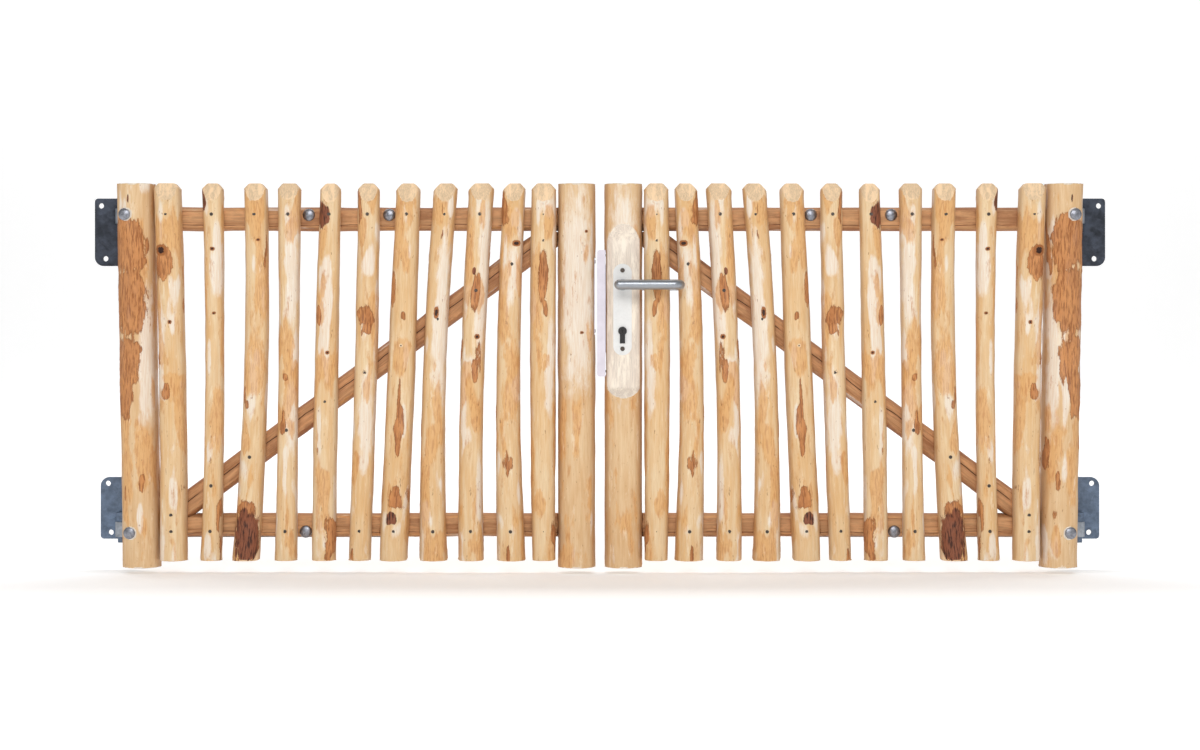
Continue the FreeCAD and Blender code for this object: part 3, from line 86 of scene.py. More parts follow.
def merged_copy(node):
    """The node's mesh, copied and with its doubles merged into one closed skin."""
    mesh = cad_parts[node].data.copy()
    mesh.materials.clear()
    skin = bmesh.new()
    skin.from_mesh(mesh)
    bmesh.ops.remove_doubles(skin, verts=skin.verts, dist=0.002 * mm)
    skin.to_mesh(mesh)
    skin.free()
    return mesh


def evaluated_mesh(piece):
    """The mesh that the piece's modifiers make."""
    ready = bpy.context.evaluated_depsgraph_get()
    return bpy.data.meshes.new_from_object(piece.evaluated_get(ready))


def new_piece(name, mesh):
    piece = bpy.data.objects.new(name, mesh)
    bpy.context.collection.objects.link(piece)
    return piece


def even_grid(name, node, cell):
    """The node's shape on an even grid of faces, fine enough to carve."""
    piece = new_piece(name, merged_copy(node))
    grid = piece.modifiers.new("grid", "REMESH")
    grid.mode = "VOXEL"
    grid.voxel_size = cell
    grid.use_smooth_shade = True
    fine = evaluated_mesh(piece)
    piece.modifiers.clear()
    piece.data = fine
    return piece


def smooth_random(points, seed):
    """Smooth random values from -1 to 1 at 3-D points, one bump per unit of length."""
    cell = np.floor(points).astype(np.int64)
    part = points - cell
    ease = part * part * (3 - 2 * part)
    total = np.zeros(len(points))
    for corner in itertools.product((0, 1), repeat=3):
        at = cell + np.array(corner)
        mixed = (at[:, 0] * 73856093) ^ (at[:, 1] * 19349663) ^ (at[:, 2] * 83492791) ^ (seed * 26544357)
        mixed = (mixed ^ (mixed >> 13)) * 12741261
        mixed = (mixed ^ (mixed >> 16)) & 65535
        total += np.prod(np.where(corner, ease, 1 - ease), axis=1) * mixed / 32767.5
    return total - 1


def ramp(value, low, high):
    """0 below low, 1 above high, smooth between."""
    part = np.clip((value - low) / (high - low), 0, 1)
    return part * part * (3 - 2 * part)


def point_values(items, name, width):
    values = np.empty(len(items) * width)
    items.foreach_get(name, values)
    return values.reshape(-1, width) if width > 1 else values


def store(mesh, name, values):
    layer = mesh.attributes.new(name, "FLOAT_VECTOR", "POINT")
    layer.data.foreach_set("vector", np.ascontiguousarray(values, dtype=np.float32).ravel())


def follow_axis(along, sideways):
    """Middle and half width of a pole at each point, found in slices along it."""
    slice_long = 12 * mm
    row = ((along - along.min()) / slice_long).astype(int)
    count = row.max() + 1
    low = np.full(count, 1e9)
    high = np.full(count, -1e9)
    np.minimum.at(low, row, sideways)
    np.maximum.at(high, row, sideways)
    end = min(5, (count - 1) // 3)
    for side in (low, high):
        side[:end] = side[end]
        side[count - end:] = side[count - end - 1]
    blur = np.ones(5) / 5
    middle = np.convolve(np.pad((low + high) / 2, 2, "edge"), blur, "valid")
    half = np.convolve(np.pad((high - low) / 2, 2, "edge"), blur, "valid")
    centres = along.min() + (np.arange(count) + 0.5) * slice_long
    return np.interp(along, centres, middle), np.interp(along, centres, half)


def weather(piece, direction, mirror, marks, seed, planed_back=False, wildness=1.0):
    """Carves a pole's skin and stores what its wood shows.

    "pole" holds places on the pole: round from its axis, and along it. "marks" holds bark, orange
    and pale wood, the listed pale marks being painted highlights, and "scars" holds knots, cut faces and
    char, each 0.5 on its outline.
    """
    mesh = piece.data
    points = point_values(mesh.vertices, "co", 3)
    normals = point_values(mesh.vertex_normals, "vector", 3)
    along_way = np.array(direction)
    across_way = np.array((direction[2], 0, -direction[0])) * mirror
    along = points @ along_way
    middle, radius = follow_axis(along, points @ across_way)
    across = points @ across_way - middle
    depth_middle, depth_half = follow_axis(along, points[:, 1])
    centre = (points[:, 1].min() + points[:, 1].max()) / 2
    if planed_back:
        centre = np.median(depth_middle - depth_half + radius)
    behind = points[:, 1] - centre
    out = np.hypot(across, behind)
    outward = np.outer(across, across_way) + np.outer(behind, (0, 1, 0))
    outward /= (out + 0.001 * mm)[:, None]
    agree = (normals * outward).sum(axis=1)
    cut = np.maximum(1 - ramp(agree, 0.86, 0.95), 1 - ramp(out / radius, 0.86, 0.93))

    own = np.array((seed * 3.17, seed * 1.71, seed * 0.37))
    place = np.stack((across, behind, along), axis=1)
    drift = place / np.array((30, 30, 55)) / mm + own
    bend = smooth_random(drift, 5) * 8 * mm + smooth_random(drift * 3.1, 6) * 4 * mm
    front = ramp(-behind / radius, -0.25, 0.2)
    square = 2.6
    fields = {kind: np.zeros(len(points)) for kind in ("bark", "orange", "pale_and_highlight", "knot", "char")}
    for mark in marks:
        warp = bend * (0.0 if mark.kind == "knot" else min(1.0, mark.wide / 16))
        sideways = (across + warp - mark.across * mm) / (mark.wide * mm)
        upward = (along + 2.2 * warp - mark.along * mm) / (mark.tall * mm)
        away = (abs(sideways) ** square + abs(upward) ** square) ** (1 / square)
        inside = np.clip(1 - away / 2, 0, 1) * front
        fields[mark.kind] = np.maximum(fields[mark.kind], inside)
    spread = place / np.array((24, 24, 95)) / mm + own * 1.3
    hidden = 1 - front
    for kind, step, chance in (("bark", 0, 0.62), ("orange", 1, 0.34), ("pale_and_highlight", 2, 0.30)):
        wild = smooth_random(spread * (1 + 0.2 * step) + 40 * step, 11 + step)
        wild += 0.35 * smooth_random(spread * 2.7 + 9 * step, 21 + step)
        threshold = chance + 0.16 * (1 - hidden) * (kind != "orange")
        fields[kind] = np.maximum(fields[kind], np.clip(0.5 + (wild * wildness - threshold) * 0.9, 0, 1))

    keep_flat = 1 - np.clip(cut * 1.4, 0, 1)
    swell = smooth_random(place / np.array((26, 26, 60)) / mm + own, 31)
    flutes = smooth_random(place / np.array((7, 7, 120)) / mm + own, 41)
    chips = smooth_random(place / np.array((13, 13, 26)) / mm + own, 61)
    lift = -1.2 + 0.7 * swell + 0.35 * flutes + 0.45 * chips
    lift += 0.9 * ramp(fields["bark"], 0.44, 0.56) * (0.7 + 0.5 * smooth_random(place / (5 * mm) + own, 51))
    lift += 1.6 * ramp(fields["knot"], 0.15, 0.7) - 2.4 * ramp(fields["knot"], 0.66, 0.9)
    moved = points + normals * (np.minimum(lift, 0.7) * keep_flat * mm)[:, None]
    moved[:, 2] = np.clip(moved[:, 2], points[:, 2].min(), points[:, 2].max())
    mesh.vertices.foreach_set("co", moved.ravel())
    store(mesh, "pole", place + own * np.array((0, 0, 1)))
    store(mesh, "marks", np.stack((fields["bark"], fields["orange"], fields["pale_and_highlight"]), axis=1))
    store(mesh, "scars", np.stack((fields["knot"], cut, fields["char"]), axis=1))
    mesh.update()


def shader(tree, kind, values=None, **settings):
    """One node in a tree; values fill its sockets with numbers, colours or other nodes' outputs."""
    node = tree.nodes.new(kind)
    for name, value in settings.items():
        setattr(node, name, value)
    for name, value in (values or {}).items():
        if isinstance(value, bpy.types.NodeSocket):
            tree.links.new(value, node.inputs[name])
        else:
            node.inputs[name].default_value = value
    return node


def window(tree, value, low, high, out_low=0.0, out_high=1.0):
    """Smoothly maps low…high to out_low…out_high."""
    node = shader(tree, "ShaderNodeMapRange", {"Value": value, "From Min": low, "From Max": high,
                                               "To Min": out_low, "To Max": out_high},
                  interpolation_type="SMOOTHSTEP")
    return node.outputs["Result"]


def sums(tree, operation, first, second):
    return shader(tree, "ShaderNodeMath", {0: first, 1: second}, operation=operation).outputs[0]


def blended(tree, amount, first, second):
    node = shader(tree, "ShaderNodeMix", {0: amount, 6: first, 7: second}, data_type="RGBA")
    return node.outputs[2]


def noise(tree, place, scale, detail=2.0, rough=0.5):
    node = shader(tree, "ShaderNodeTexNoise", {"Vector": place, "Scale": scale, "Detail": detail,
                                               "Roughness": rough})
    return node.outputs["Fac"]


def stretched(tree, place, amounts):
    node = shader(tree, "ShaderNodeVectorMath", {0: place, 1: amounts}, operation="MULTIPLY")
    return node.outputs[0]


def effect(name, inputs, outputs):
    """An empty node group: inputs are (name, type, start value), outputs are names of values."""
    group = bpy.data.node_groups.new(name, "ShaderNodeTree")
    for label, kind, start in inputs:
        socket = group.interface.new_socket(label, in_out="INPUT", socket_type=kind)
        if start is not None:
            socket.default_value = start
    for label in outputs:
        group.interface.new_socket(label, in_out="OUTPUT", socket_type="NodeSocketFloat")
    return group, group.nodes.new("NodeGroupInput").outputs, group.nodes.new("NodeGroupOutput").inputs


def wood_grain():
    """Fine fibres that run along the pole, broad soft streaks and short brown flecks."""
    group, given, result = effect("wood_grain", (("Place", "NodeSocketVector", None),
                                                 ("Fibre", "NodeSocketFloat", 700.0),
                                                 ("Streak", "NodeSocketFloat", 130.0)),
                                  ("Fibres", "Streaks", "Flecks", "Height"))
    fibres = noise(group, stretched(group, given["Place"], (1, 1, 0.035)), given["Fibre"], 3.0, 0.6)
    streaks = noise(group, stretched(group, given["Place"], (1, 1, 0.10)), given["Streak"], 4.0, 0.6)
    specks = noise(group, stretched(group, given["Place"], (1, 1, 0.30)), 210.0, 2.0, 0.7)
    group.links.new(window(group, fibres, 0.34, 0.66), result["Fibres"])
    group.links.new(window(group, streaks, 0.36, 0.64), result["Streaks"])
    group.links.new(window(group, specks, 0.675, 0.73), result["Flecks"])
    group.links.new(sums(group, "MULTIPLY", fibres, 0.6), result["Height"])
    return group


def ragged_patch():
    """Turns a soft field into a patch with a torn outline, a dark rim and strokes inside."""
    group, given, result = effect("ragged_patch", (("Field", "NodeSocketFloat", 0.0),
                                                   ("Place", "NodeSocketVector", None),
                                                   ("Tear", "NodeSocketFloat", 0.45),
                                                   ("Softness", "NodeSocketFloat", 0.02)),
                                  ("Patch", "Rim", "Strokes"))
    torn = noise(group, stretched(group, given["Place"], (1, 1, 0.28)), 120.0, 6.0, 0.72)
    offset = sums(group, "MULTIPLY", sums(group, "SUBTRACT", torn, 0.5), given["Tear"])
    edge = sums(group, "ADD", given["Field"], offset)
    start = sums(group, "SUBTRACT", 0.5, given["Softness"])
    inside = window(group, edge, start, sums(group, "ADD", 0.5, given["Softness"]))
    rim = sums(group, "MULTIPLY", inside, window(group, edge, 0.58, 0.51))
    lines = noise(group, stretched(group, given["Place"], (1, 1, 0.14)), 330.0, 3.0, 0.6)
    group.links.new(inside, result["Patch"])
    group.links.new(rim, result["Rim"])
    group.links.new(window(group, lines, 0.46, 0.62), result["Strokes"])
    return group


grain_effect = wood_grain()
patch_effect = ragged_patch()


def srgb(red, green, blue):
    """A colour given as it looks on a screen, 0 to 255, as the linear values a shader takes."""
    parts = [value / 255 for value in (red, green, blue)]
    return tuple(p / 12.92 if p < 0.04045 else ((p + 0.055) / 1.055) ** 2.4 for p in parts) + (1.0,)


def pole_wood(name, straw, deep, cut_face, bark, roughness, bump, painted_flank_shade=0.42):
    """Debarked wood: straw to deep tan along the grain, the pole's own marks, and painted shade on its
    flanks.
    """
    material = bpy.data.materials.new(name)
    material.use_nodes = True
    tree = material.node_tree
    surface = tree.nodes["Principled BSDF"]
    place = shader(tree, "ShaderNodeAttribute", attribute_name="pole").outputs["Vector"]
    marks = shader(tree, "ShaderNodeSeparateXYZ", {
        0: shader(tree, "ShaderNodeAttribute", attribute_name="marks").outputs["Vector"]}).outputs
    scars = shader(tree, "ShaderNodeSeparateXYZ", {
        0: shader(tree, "ShaderNodeAttribute", attribute_name="scars").outputs["Vector"]}).outputs
    grain = shader(tree, "ShaderNodeGroup", node_tree=grain_effect)
    tree.links.new(place, grain.inputs["Place"])

    def patch(field, tear, softness):
        node = shader(tree, "ShaderNodeGroup", node_tree=patch_effect)
        tree.links.new(field, node.inputs["Field"])
        tree.links.new(place, node.inputs["Place"])
        node.inputs["Tear"].default_value = tear
        node.inputs["Softness"].default_value = softness
        return node.outputs

    fibres, streaks, flecks = (grain.outputs[label] for label in ("Fibres", "Streaks", "Flecks"))
    broad = noise(tree, stretched(tree, place, (1, 1, 0.3)), 22.0, 2.0)
    mix = sums(tree, "MULTIPLY", sums(tree, "ADD", streaks, window(tree, broad, 0.35, 0.65)), 0.5)
    colour = blended(tree, mix, straw, deep)
    colour = blended(tree, sums(tree, "MULTIPLY", fibres, 0.22), colour, srgb(196, 146, 96))
    # Pale wood bleached nearly white; where the listed pale marks lie, this is a painted highlight.
    pale_and_highlight = patch(marks[2], 0.7, 0.13)
    bleached_and_highlight = sums(tree, "MULTIPLY", pale_and_highlight["Patch"], window(tree, fibres, -0.6, 1.0, 0.95, 0.5))
    colour = blended(tree, bleached_and_highlight, colour, srgb(250, 243, 232))
    orange = patch(marks[1], 0.9, 0.10)
    warm = blended(tree, orange["Strokes"], srgb(230, 176, 112), srgb(208, 140, 76))
    colour = blended(tree, sums(tree, "MULTIPLY", orange["Patch"], 0.72), colour, warm)
    smears = noise(tree, stretched(tree, place, (1, 1, 0.22)), 62.0, 6.0, 0.7)
    colour = blended(tree, window(tree, smears, 0.58, 0.70, 0.0, 0.62), colour, srgb(204, 140, 82))
    colour = blended(tree, window(tree, smears, 0.42, 0.30, 0.0, 0.55), colour, srgb(250, 232, 202))
    colour = blended(tree, sums(tree, "MULTIPLY", flecks, 0.6), colour, srgb(160, 100, 58))
    rust = patch(marks[0], 0.62, 0.025)
    tone = window(tree, noise(tree, stretched(tree, place, (1, 1, 0.4)), 48.0, 4.0, 0.6), 0.36, 0.64)
    inner = blended(tree, tone, bark, srgb(212, 146, 90))
    inner = blended(tree, sums(tree, "MULTIPLY", rust["Strokes"], 0.75), inner, srgb(142, 80, 42))
    colour = blended(tree, sums(tree, "MULTIPLY", rust["Patch"], 0.94), colour, inner)
    colour = blended(tree, sums(tree, "MULTIPLY", rust["Rim"], 0.45), colour, srgb(122, 72, 42))
    char = patch(scars[2], 0.75, 0.03)
    colour = blended(tree, char["Patch"], colour, blended(tree, char["Strokes"], srgb(142, 84, 58),
                                                         srgb(66, 38, 28)))
    knot_edge = sums(tree, "ADD", scars[0], sums(tree, "MULTIPLY", sums(
        tree, "SUBTRACT", noise(tree, place, 260.0, 3.0), 0.5), 0.22))
    colour = blended(tree, window(tree, knot_edge, 0.40, 0.56), colour, srgb(168, 104, 58))
    colour = blended(tree, window(tree, knot_edge, 0.66, 0.76), colour, srgb(60, 36, 26))
    shaded = tuple(part * 0.74 for part in cut_face[:3]) + (1.0,)
    bright = tuple(min(1.0, part * 1.14) for part in cut_face[:3]) + (1.0,)
    fresh = blended(tree, sums(tree, "MULTIPLY", fibres, 0.8), cut_face, shaded)
    fresh = blended(tree, window(tree, smears, 0.46, 0.62), fresh, bright)
    colour = blended(tree, window(tree, scars[1], 0.45, 0.62), colour, fresh)
    # Painted shade: the colour turns brown towards the pole's flanks, away from its front, where light
    # falls off.
    no_reach = 1e-6
    around = shader(tree, "ShaderNodeSeparateXYZ", {0: place}).outputs
    sideways = sums(tree, "MULTIPLY", around[0], around[0])
    reach = sums(tree, "ADD", sideways, sums(tree, "MULTIPLY", around[1], around[1]))
    painted_flank_mask = window(tree, sums(tree, "DIVIDE", sideways, sums(tree, "MAXIMUM", reach, no_reach)), 0.45, 0.95)
    colour = blended(tree, sums(tree, "MULTIPLY", painted_flank_mask, painted_flank_shade), colour, srgb(150, 98, 58))
    tree.links.new(colour, surface.inputs["Base Color"])

    rough = sums(tree, "ADD", sums(tree, "MULTIPLY", fibres, 0.10),
                 sums(tree, "MULTIPLY", rust["Patch"], 0.18))
    tree.links.new(sums(tree, "ADD", rough, roughness), surface.inputs["Roughness"])
    height = sums(tree, "ADD", sums(tree, "MULTIPLY", grain.outputs["Height"], 0.5),
                  sums(tree, "MULTIPLY", rust["Patch"], sums(tree, "SUBTRACT", 1.2, rust["Strokes"])))
    height = sums(tree, "ADD", height, sums(tree, "MULTIPLY", smears, 1.4))
    relief = shader(tree, "ShaderNodeBump", {"Strength": bump, "Distance": 0.7 * mm, "Height": height})
    tree.links.new(relief.outputs["Normal"], surface.inputs["Normal"])
    surface.inputs["Specular IOR Level"].default_value = 0.35
    return material


paling_wood = pole_wood("paling_wood", srgb(243, 218, 178), srgb(232, 188, 132), srgb(240, 208, 168),
                        srgb(190, 122, 72), 0.52, 0.55)
skin_cell = 3 * mm
leaves = (("left", 1), ("right", -1))

for leaf, mirror in leaves:
    for count, marks in paling_marks.items():
        node = f"{leaf}_paling_{count}"
        piece = even_grid(f"{node}_wood", node, skin_cell)
        weather(piece, (0, 0, 1), mirror, marks, count, planed_back=True)
        piece.data.materials.clear()
        piece.data.materials.append(paling_wood)
        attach(piece, f"{leaf}_leaf")
        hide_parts(node)


# ---------------------------------------------------------------- posts
# Four thick debarked poles. The hinge posts lean a little and keep large sheets of rust-brown inner
# bark; the closing posts are turned smooth, and the right one is milled flat for the lock.

# On every post the long pale mark, on the side towards the gate's middle, is a painted highlight.
hinge_post_marks = (
    Mark("bark", -10, 651, 34, 52), Mark("bark", 4, 622, 20, 30), Mark("bark", -9, 537, 31, 68),
    Mark("bark", 8, 520, 14, 40), Mark("bark", -12, 418, 28, 48), Mark("bark", -22, 352, 17, 50),
    Mark("orange", 12, 600, 16, 40), Mark("orange", 14, 230, 16, 70), Mark("orange", -20, 190, 12, 60),
    Mark("bark", 10, 171, 5, 18), Mark("pale_and_highlight", 24, 420, 12, 130), Mark("char", -10, 737, 2, 9))
closing_post_marks = (Mark("knot", 20, 672, 3, 3), Mark("knot", 12, 470, 4, 3),
                      Mark("pale_and_highlight", 4, 560, 30, 190))

post_wood = pole_wood("post_wood", srgb(238, 208, 166), srgb(224, 182, 132), srgb(244, 230, 214),
                      srgb(196, 132, 82), 0.55, 0.5)

for leaf, mirror in leaves:
    for post, marks, seed, wildness in (("hinge_post", hinge_post_marks, 31, 1.0),
                                        ("closing_post", closing_post_marks, 37, 0.62)):
        node = f"{leaf}_{post}"
        piece = even_grid(f"{node}_wood", node, skin_cell)
        weather(piece, (0, 0, 1), mirror, marks, seed + mirror, wildness=wildness)
        piece.data.materials.clear()
        piece.data.materials.append(post_wood)
        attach(piece, f"{leaf}_leaf")
        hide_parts(node)


# ---------------------------------------------------------------- rails and braces
# Two flattened poles across each leaf, tenoned into the posts, and a diagonal pole let into the
# lower one. They dried before they were shaped, so long checks run along their faces.

def drying_check(material, offset, opening, half):
    """Streaks along a pole's face, painted shade on its long edges, and a wandering split of painted
    shadow.
    """
    tree = material.node_tree
    surface = tree.nodes["Principled BSDF"]
    place = shader(tree, "ShaderNodeAttribute", attribute_name="pole").outputs["Vector"]
    parts = shader(tree, "ShaderNodeSeparateXYZ", {0: place}).outputs
    long_place = stretched(tree, place, (0.02, 0.02, 1))
    wander = sums(tree, "MULTIPLY", sums(tree, "SUBTRACT", noise(tree, long_place, 9.0, 3.0), 0.5),
                  16 * mm)
    away = sums(tree, "ABSOLUTE", sums(tree, "ADD", sums(tree, "ADD", parts[0], offset), wander), 0.0)
    broken = window(tree, noise(tree, long_place, 14.0, 1.0), 0.40, 0.47)
    # Painted shadow: the open check is drawn as a dark line, with painted shade along its lips.
    painted_split_shadow = sums(tree, "MULTIPLY", window(tree, away, opening, 0.3 * opening), broken)
    shade = sums(tree, "MULTIPLY", window(tree, away, 4 * opening, opening), 0.30)
    colour = surface.inputs["Base Color"].links[0].from_socket
    strands = noise(tree, stretched(tree, place, (1, 1, 0.035)), 190.0, 5.0, 0.65)
    colour = blended(tree, window(tree, strands, 0.52, 0.68, 0.0, 0.55), colour, srgb(150, 92, 52))
    colour = blended(tree, window(tree, strands, 0.46, 0.32, 0.0, 0.5), colour, srgb(232, 184, 134))
    stain = noise(tree, stretched(tree, place, (1, 1, 0.3)), 26.0, 5.0, 0.62)
    colour = blended(tree, window(tree, stain, 0.50, 0.66, 0.0, 0.55), colour, srgb(142, 86, 52))
    # Painted shade: darker towards the pole's two long edges, where light falls off round it.
    height_on_face = sums(tree, "ABSOLUTE", parts[0], 0.0)
    edge = window(tree, height_on_face, 0.55 * half, half, 0.0, 0.6)
    colour = blended(tree, edge, colour, srgb(128, 78, 48))
    colour = blended(tree, shade, colour, srgb(166, 104, 62))
    colour = blended(tree, painted_split_shadow, colour, srgb(52, 28, 18))
    tree.links.new(colour, surface.inputs["Base Color"])


rail_wood = pole_wood("rail_wood", srgb(214, 166, 118), srgb(196, 142, 96), srgb(208, 158, 112),
                      srgb(150, 92, 56), 0.6, 0.6, 0.0)
brace_wood = pole_wood("brace_wood", srgb(212, 162, 116), srgb(194, 138, 94), srgb(206, 154, 108),
                       srgb(150, 92, 56), 0.6, 0.6, 0.0)
half_pole = 27 * mm
drying_check(rail_wood, -13 * mm, 0.6 * mm, half_pole)
drying_check(brace_wood, 4 * mm, 1.3 * mm, half_pole)
brace_marks = (Mark("knot", 4, 250, 7, 6), Mark("knot", -8, 520, 5, 5))
rail_marks = (Mark("knot", 2, 300, 5, 6),)

for leaf, mirror in leaves:
    for part, seed in (("upper_rail", 51), ("lower_rail", 57), ("brace", 63)):
        node = f"{leaf}_{part}"
        piece = even_grid(f"{node}_wood", node, skin_cell)
        low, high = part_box(node)
        rise = math.atan2(high.z - low.z, high.x - low.x) if part == "brace" else 0.0
        direction = (mirror * math.cos(rise), 0, math.sin(rise))
        weather(piece, direction, mirror, brace_marks if part == "brace" else rail_marks, seed + mirror,
                wildness=0.7)
        piece.data.materials.clear()
        piece.data.materials.append(brace_wood if part == "brace" else rail_wood)
        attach(piece, f"{leaf}_leaf")
        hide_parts(node)


# ---------------------------------------------------------------- paling screws
# Thirty-three countersunk wood screws on each leaf, driven a little below the wood from the front.
# Dull zinc, gone dark in the damp wood.

def islands(node):
    """Lowest and highest corner of each separate solid in a node."""
    skin = bmesh.new()
    skin.from_mesh(merged_copy(node))
    found, seen = [], set()
    for start in skin.verts:
        if start in seen:
            continue
        group, waiting = [], [start]
        seen.add(start)
        while waiting:
            point = waiting.pop()
            group.append(point.co[:])
            for edge in point.link_edges:
                other = edge.other_vert(point)
                if other not in seen:
                    seen.add(other)
                    waiting.append(other)
        corners = np.array(group)
        found.append((corners.min(axis=0), corners.max(axis=0)))
    skin.free()
    return found


def metal(name, colour, roughness, mottle, mottle_size, scratch, metallic=1.0):
    """A metal finish: cloudy mottling in tone and shine, and fine scratches that catch light."""
    material = bpy.data.materials.new(name)
    material.use_nodes = True
    tree = material.node_tree
    surface = tree.nodes["Principled BSDF"]
    place = shader(tree, "ShaderNodeTexCoord").outputs["Object"]
    clouds = noise(tree, place, 1 / mottle_size, 4.0, 0.6)
    flakes = shader(tree, "ShaderNodeTexVoronoi", {"Vector": place, "Scale": 2.2 / mottle_size})
    flake = shader(tree, "ShaderNodeSeparateColor", {0: flakes.outputs["Color"]}).outputs[0]
    tone = sums(tree, "ADD", window(tree, clouds, 0.3, 0.7), sums(tree, "MULTIPLY", flake, 0.4))
    dark = tuple(part * (1 - mottle) for part in colour[:3]) + (1.0,)
    light = tuple(min(1.0, part * (1 + 0.6 * mottle)) for part in colour[:3]) + (1.0,)
    colour = blended(tree, sums(tree, "MULTIPLY", tone, 0.72), dark, light)
    tree.links.new(colour, surface.inputs["Base Color"])
    fine = noise(tree, stretched(tree, place, (1, 1, 14)), 160.0, 3.0, 0.6)
    shine = sums(tree, "ADD", sums(tree, "MULTIPLY", clouds, 0.22), roughness - 0.11)
    shine = sums(tree, "ADD", shine, sums(tree, "MULTIPLY", fine, scratch))
    tree.links.new(shine, surface.inputs["Roughness"])
    relief = shader(tree, "ShaderNodeBump", {"Strength": 0.25, "Distance": 0.15 * mm, "Height": fine})
    tree.links.new(relief.outputs["Normal"], surface.inputs["Normal"])
    surface.inputs["Metallic"].default_value = metallic
    return material


def shape_group(name, inputs):
    """A Geometry Nodes tree with its input and output, ready for its own nodes."""
    tree = bpy.data.node_groups.new(name, "GeometryNodeTree")
    tree.interface.new_socket("Geometry", in_out="INPUT", socket_type="NodeSocketGeometry")
    for label, kind in inputs:
        tree.interface.new_socket(label, in_out="INPUT", socket_type=kind)
    tree.interface.new_socket("Geometry", in_out="OUTPUT", socket_type="NodeSocketGeometry")
    return tree, tree.nodes.new("NodeGroupInput").outputs, tree.nodes.new("NodeGroupOutput").inputs


def turned(tree, start, end, radius, sides):
    """A round solid between two points on the Y axis whose radius follows the given socket."""
    line = shader(tree, "GeometryNodeCurvePrimitiveLine", {"Start": start, "End": end}).outputs["Curve"]
    steps = shader(tree, "GeometryNodeResampleCurve", {"Curve": line, "Count": 9}).outputs["Curve"]
    ring = shader(tree, "GeometryNodeCurvePrimitiveCircle", {"Resolution": sides, "Radius": 1.0})
    return shader(tree, "GeometryNodeCurveToMesh", {"Curve": steps, "Profile Curve": ring.outputs["Curve"],
                                                    "Scale": radius, "Fill Caps": True}).outputs["Mesh"]


def placed(tree, given, result, shape, material_socket):
    """Puts the shape on every point, makes it real and gives it its material."""
    spots = shader(tree, "GeometryNodeMeshToPoints", {"Mesh": given["Geometry"]}).outputs["Points"]
    copies = shader(tree, "GeometryNodeInstanceOnPoints", {"Points": spots, "Instance": shape})
    real = shader(tree, "GeometryNodeRealizeInstances", {"Geometry": copies.outputs["Instances"]})
    ready = shader(tree, "GeometryNodeSetMaterial", {"Geometry": real.outputs["Geometry"],
                                                     "Material": material_socket})
    tree.links.new(ready.outputs["Geometry"], result["Geometry"])


def vector(tree, y):
    return shader(tree, "ShaderNodeCombineXYZ", {"Y": y}).outputs[0]


def grown(name, tree, points, values):
    """Runs a tree on a set of points and returns the plain mesh it makes."""
    mesh = bpy.data.meshes.new(name)
    mesh.from_pydata([tuple(point) for point in points], [], [])
    piece = new_piece(name, mesh)
    maker = piece.modifiers.new("maker", "NODES")
    maker.node_group = tree
    for item in tree.interface.items_tree:
        if item.in_out == "INPUT" and item.name in values:
            maker[item.identifier] = values[item.name]
    made = evaluated_mesh(piece)
    piece.modifiers.clear()
    bpy.data.objects.remove(piece)
    return made


def wood_screw():
    """Countersunk head and a shank, pointing into the wood along +Y."""
    tree, given, result = shape_group("wood_screw", (("Head Radius", "NodeSocketFloat"),
                                                     ("Shank Radius", "NodeSocketFloat"),
                                                     ("Length", "NodeSocketFloat"),
                                                     ("Steel", "NodeSocketMaterial")))
    part = shader(tree, "GeometryNodeSplineParameter").outputs["Factor"]
    taper = shader(tree, "ShaderNodeMapRange", {"Value": part, "From Min": 0.0, "From Max": 0.125,
                                                "To Min": given["Head Radius"],
                                                "To Max": given["Shank Radius"]})
    body = turned(tree, (0.0, 0.0, 0.0), vector(tree, given["Length"]), taper.outputs["Result"], 12)
    placed(tree, given, result, body, given["Steel"])
    return tree


screw_shank_radius = 2.2 * mm
screw_steel = metal("screw_steel", srgb(96, 88, 82), 0.45, 0.35, 3 * mm, 0.15)
screw_tree = wood_screw()


def collected(name, meshes, material):
    """One piece made of several meshes of one material."""
    joined = bmesh.new()
    for mesh in meshes:
        joined.from_mesh(mesh)
    for face in joined.faces:
        face.smooth = True
        face.material_index = 0
    result = bpy.data.meshes.new(name)
    joined.to_mesh(result)
    joined.free()
    result.materials.append(material)
    return new_piece(name, result)


for leaf, mirror in leaves:
    node = f"{leaf}_paling_screws"
    solids = islands(node)
    heads = [((low[0] + high[0]) / 2, low[1], (low[2] + high[2]) / 2) for low, high in solids]
    low, high = solids[0]
    made = grown(f"{node}_made", screw_tree, heads, {
        "Head Radius": float(high[0] - low[0]) / 2, "Shank Radius": screw_shank_radius,
        "Length": float(high[1] - low[1]), "Steel": screw_steel})
    piece = collected(f"{node}_steel", [made], screw_steel)
    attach(piece, f"{leaf}_leaf")
    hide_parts(node)


# ---------------------------------------------------------------- hinge bolts
# Six carriage bolts on each leaf: a domed zinc head in front, and a washer and hexagon nut behind
# that clamp the strap to the wood.

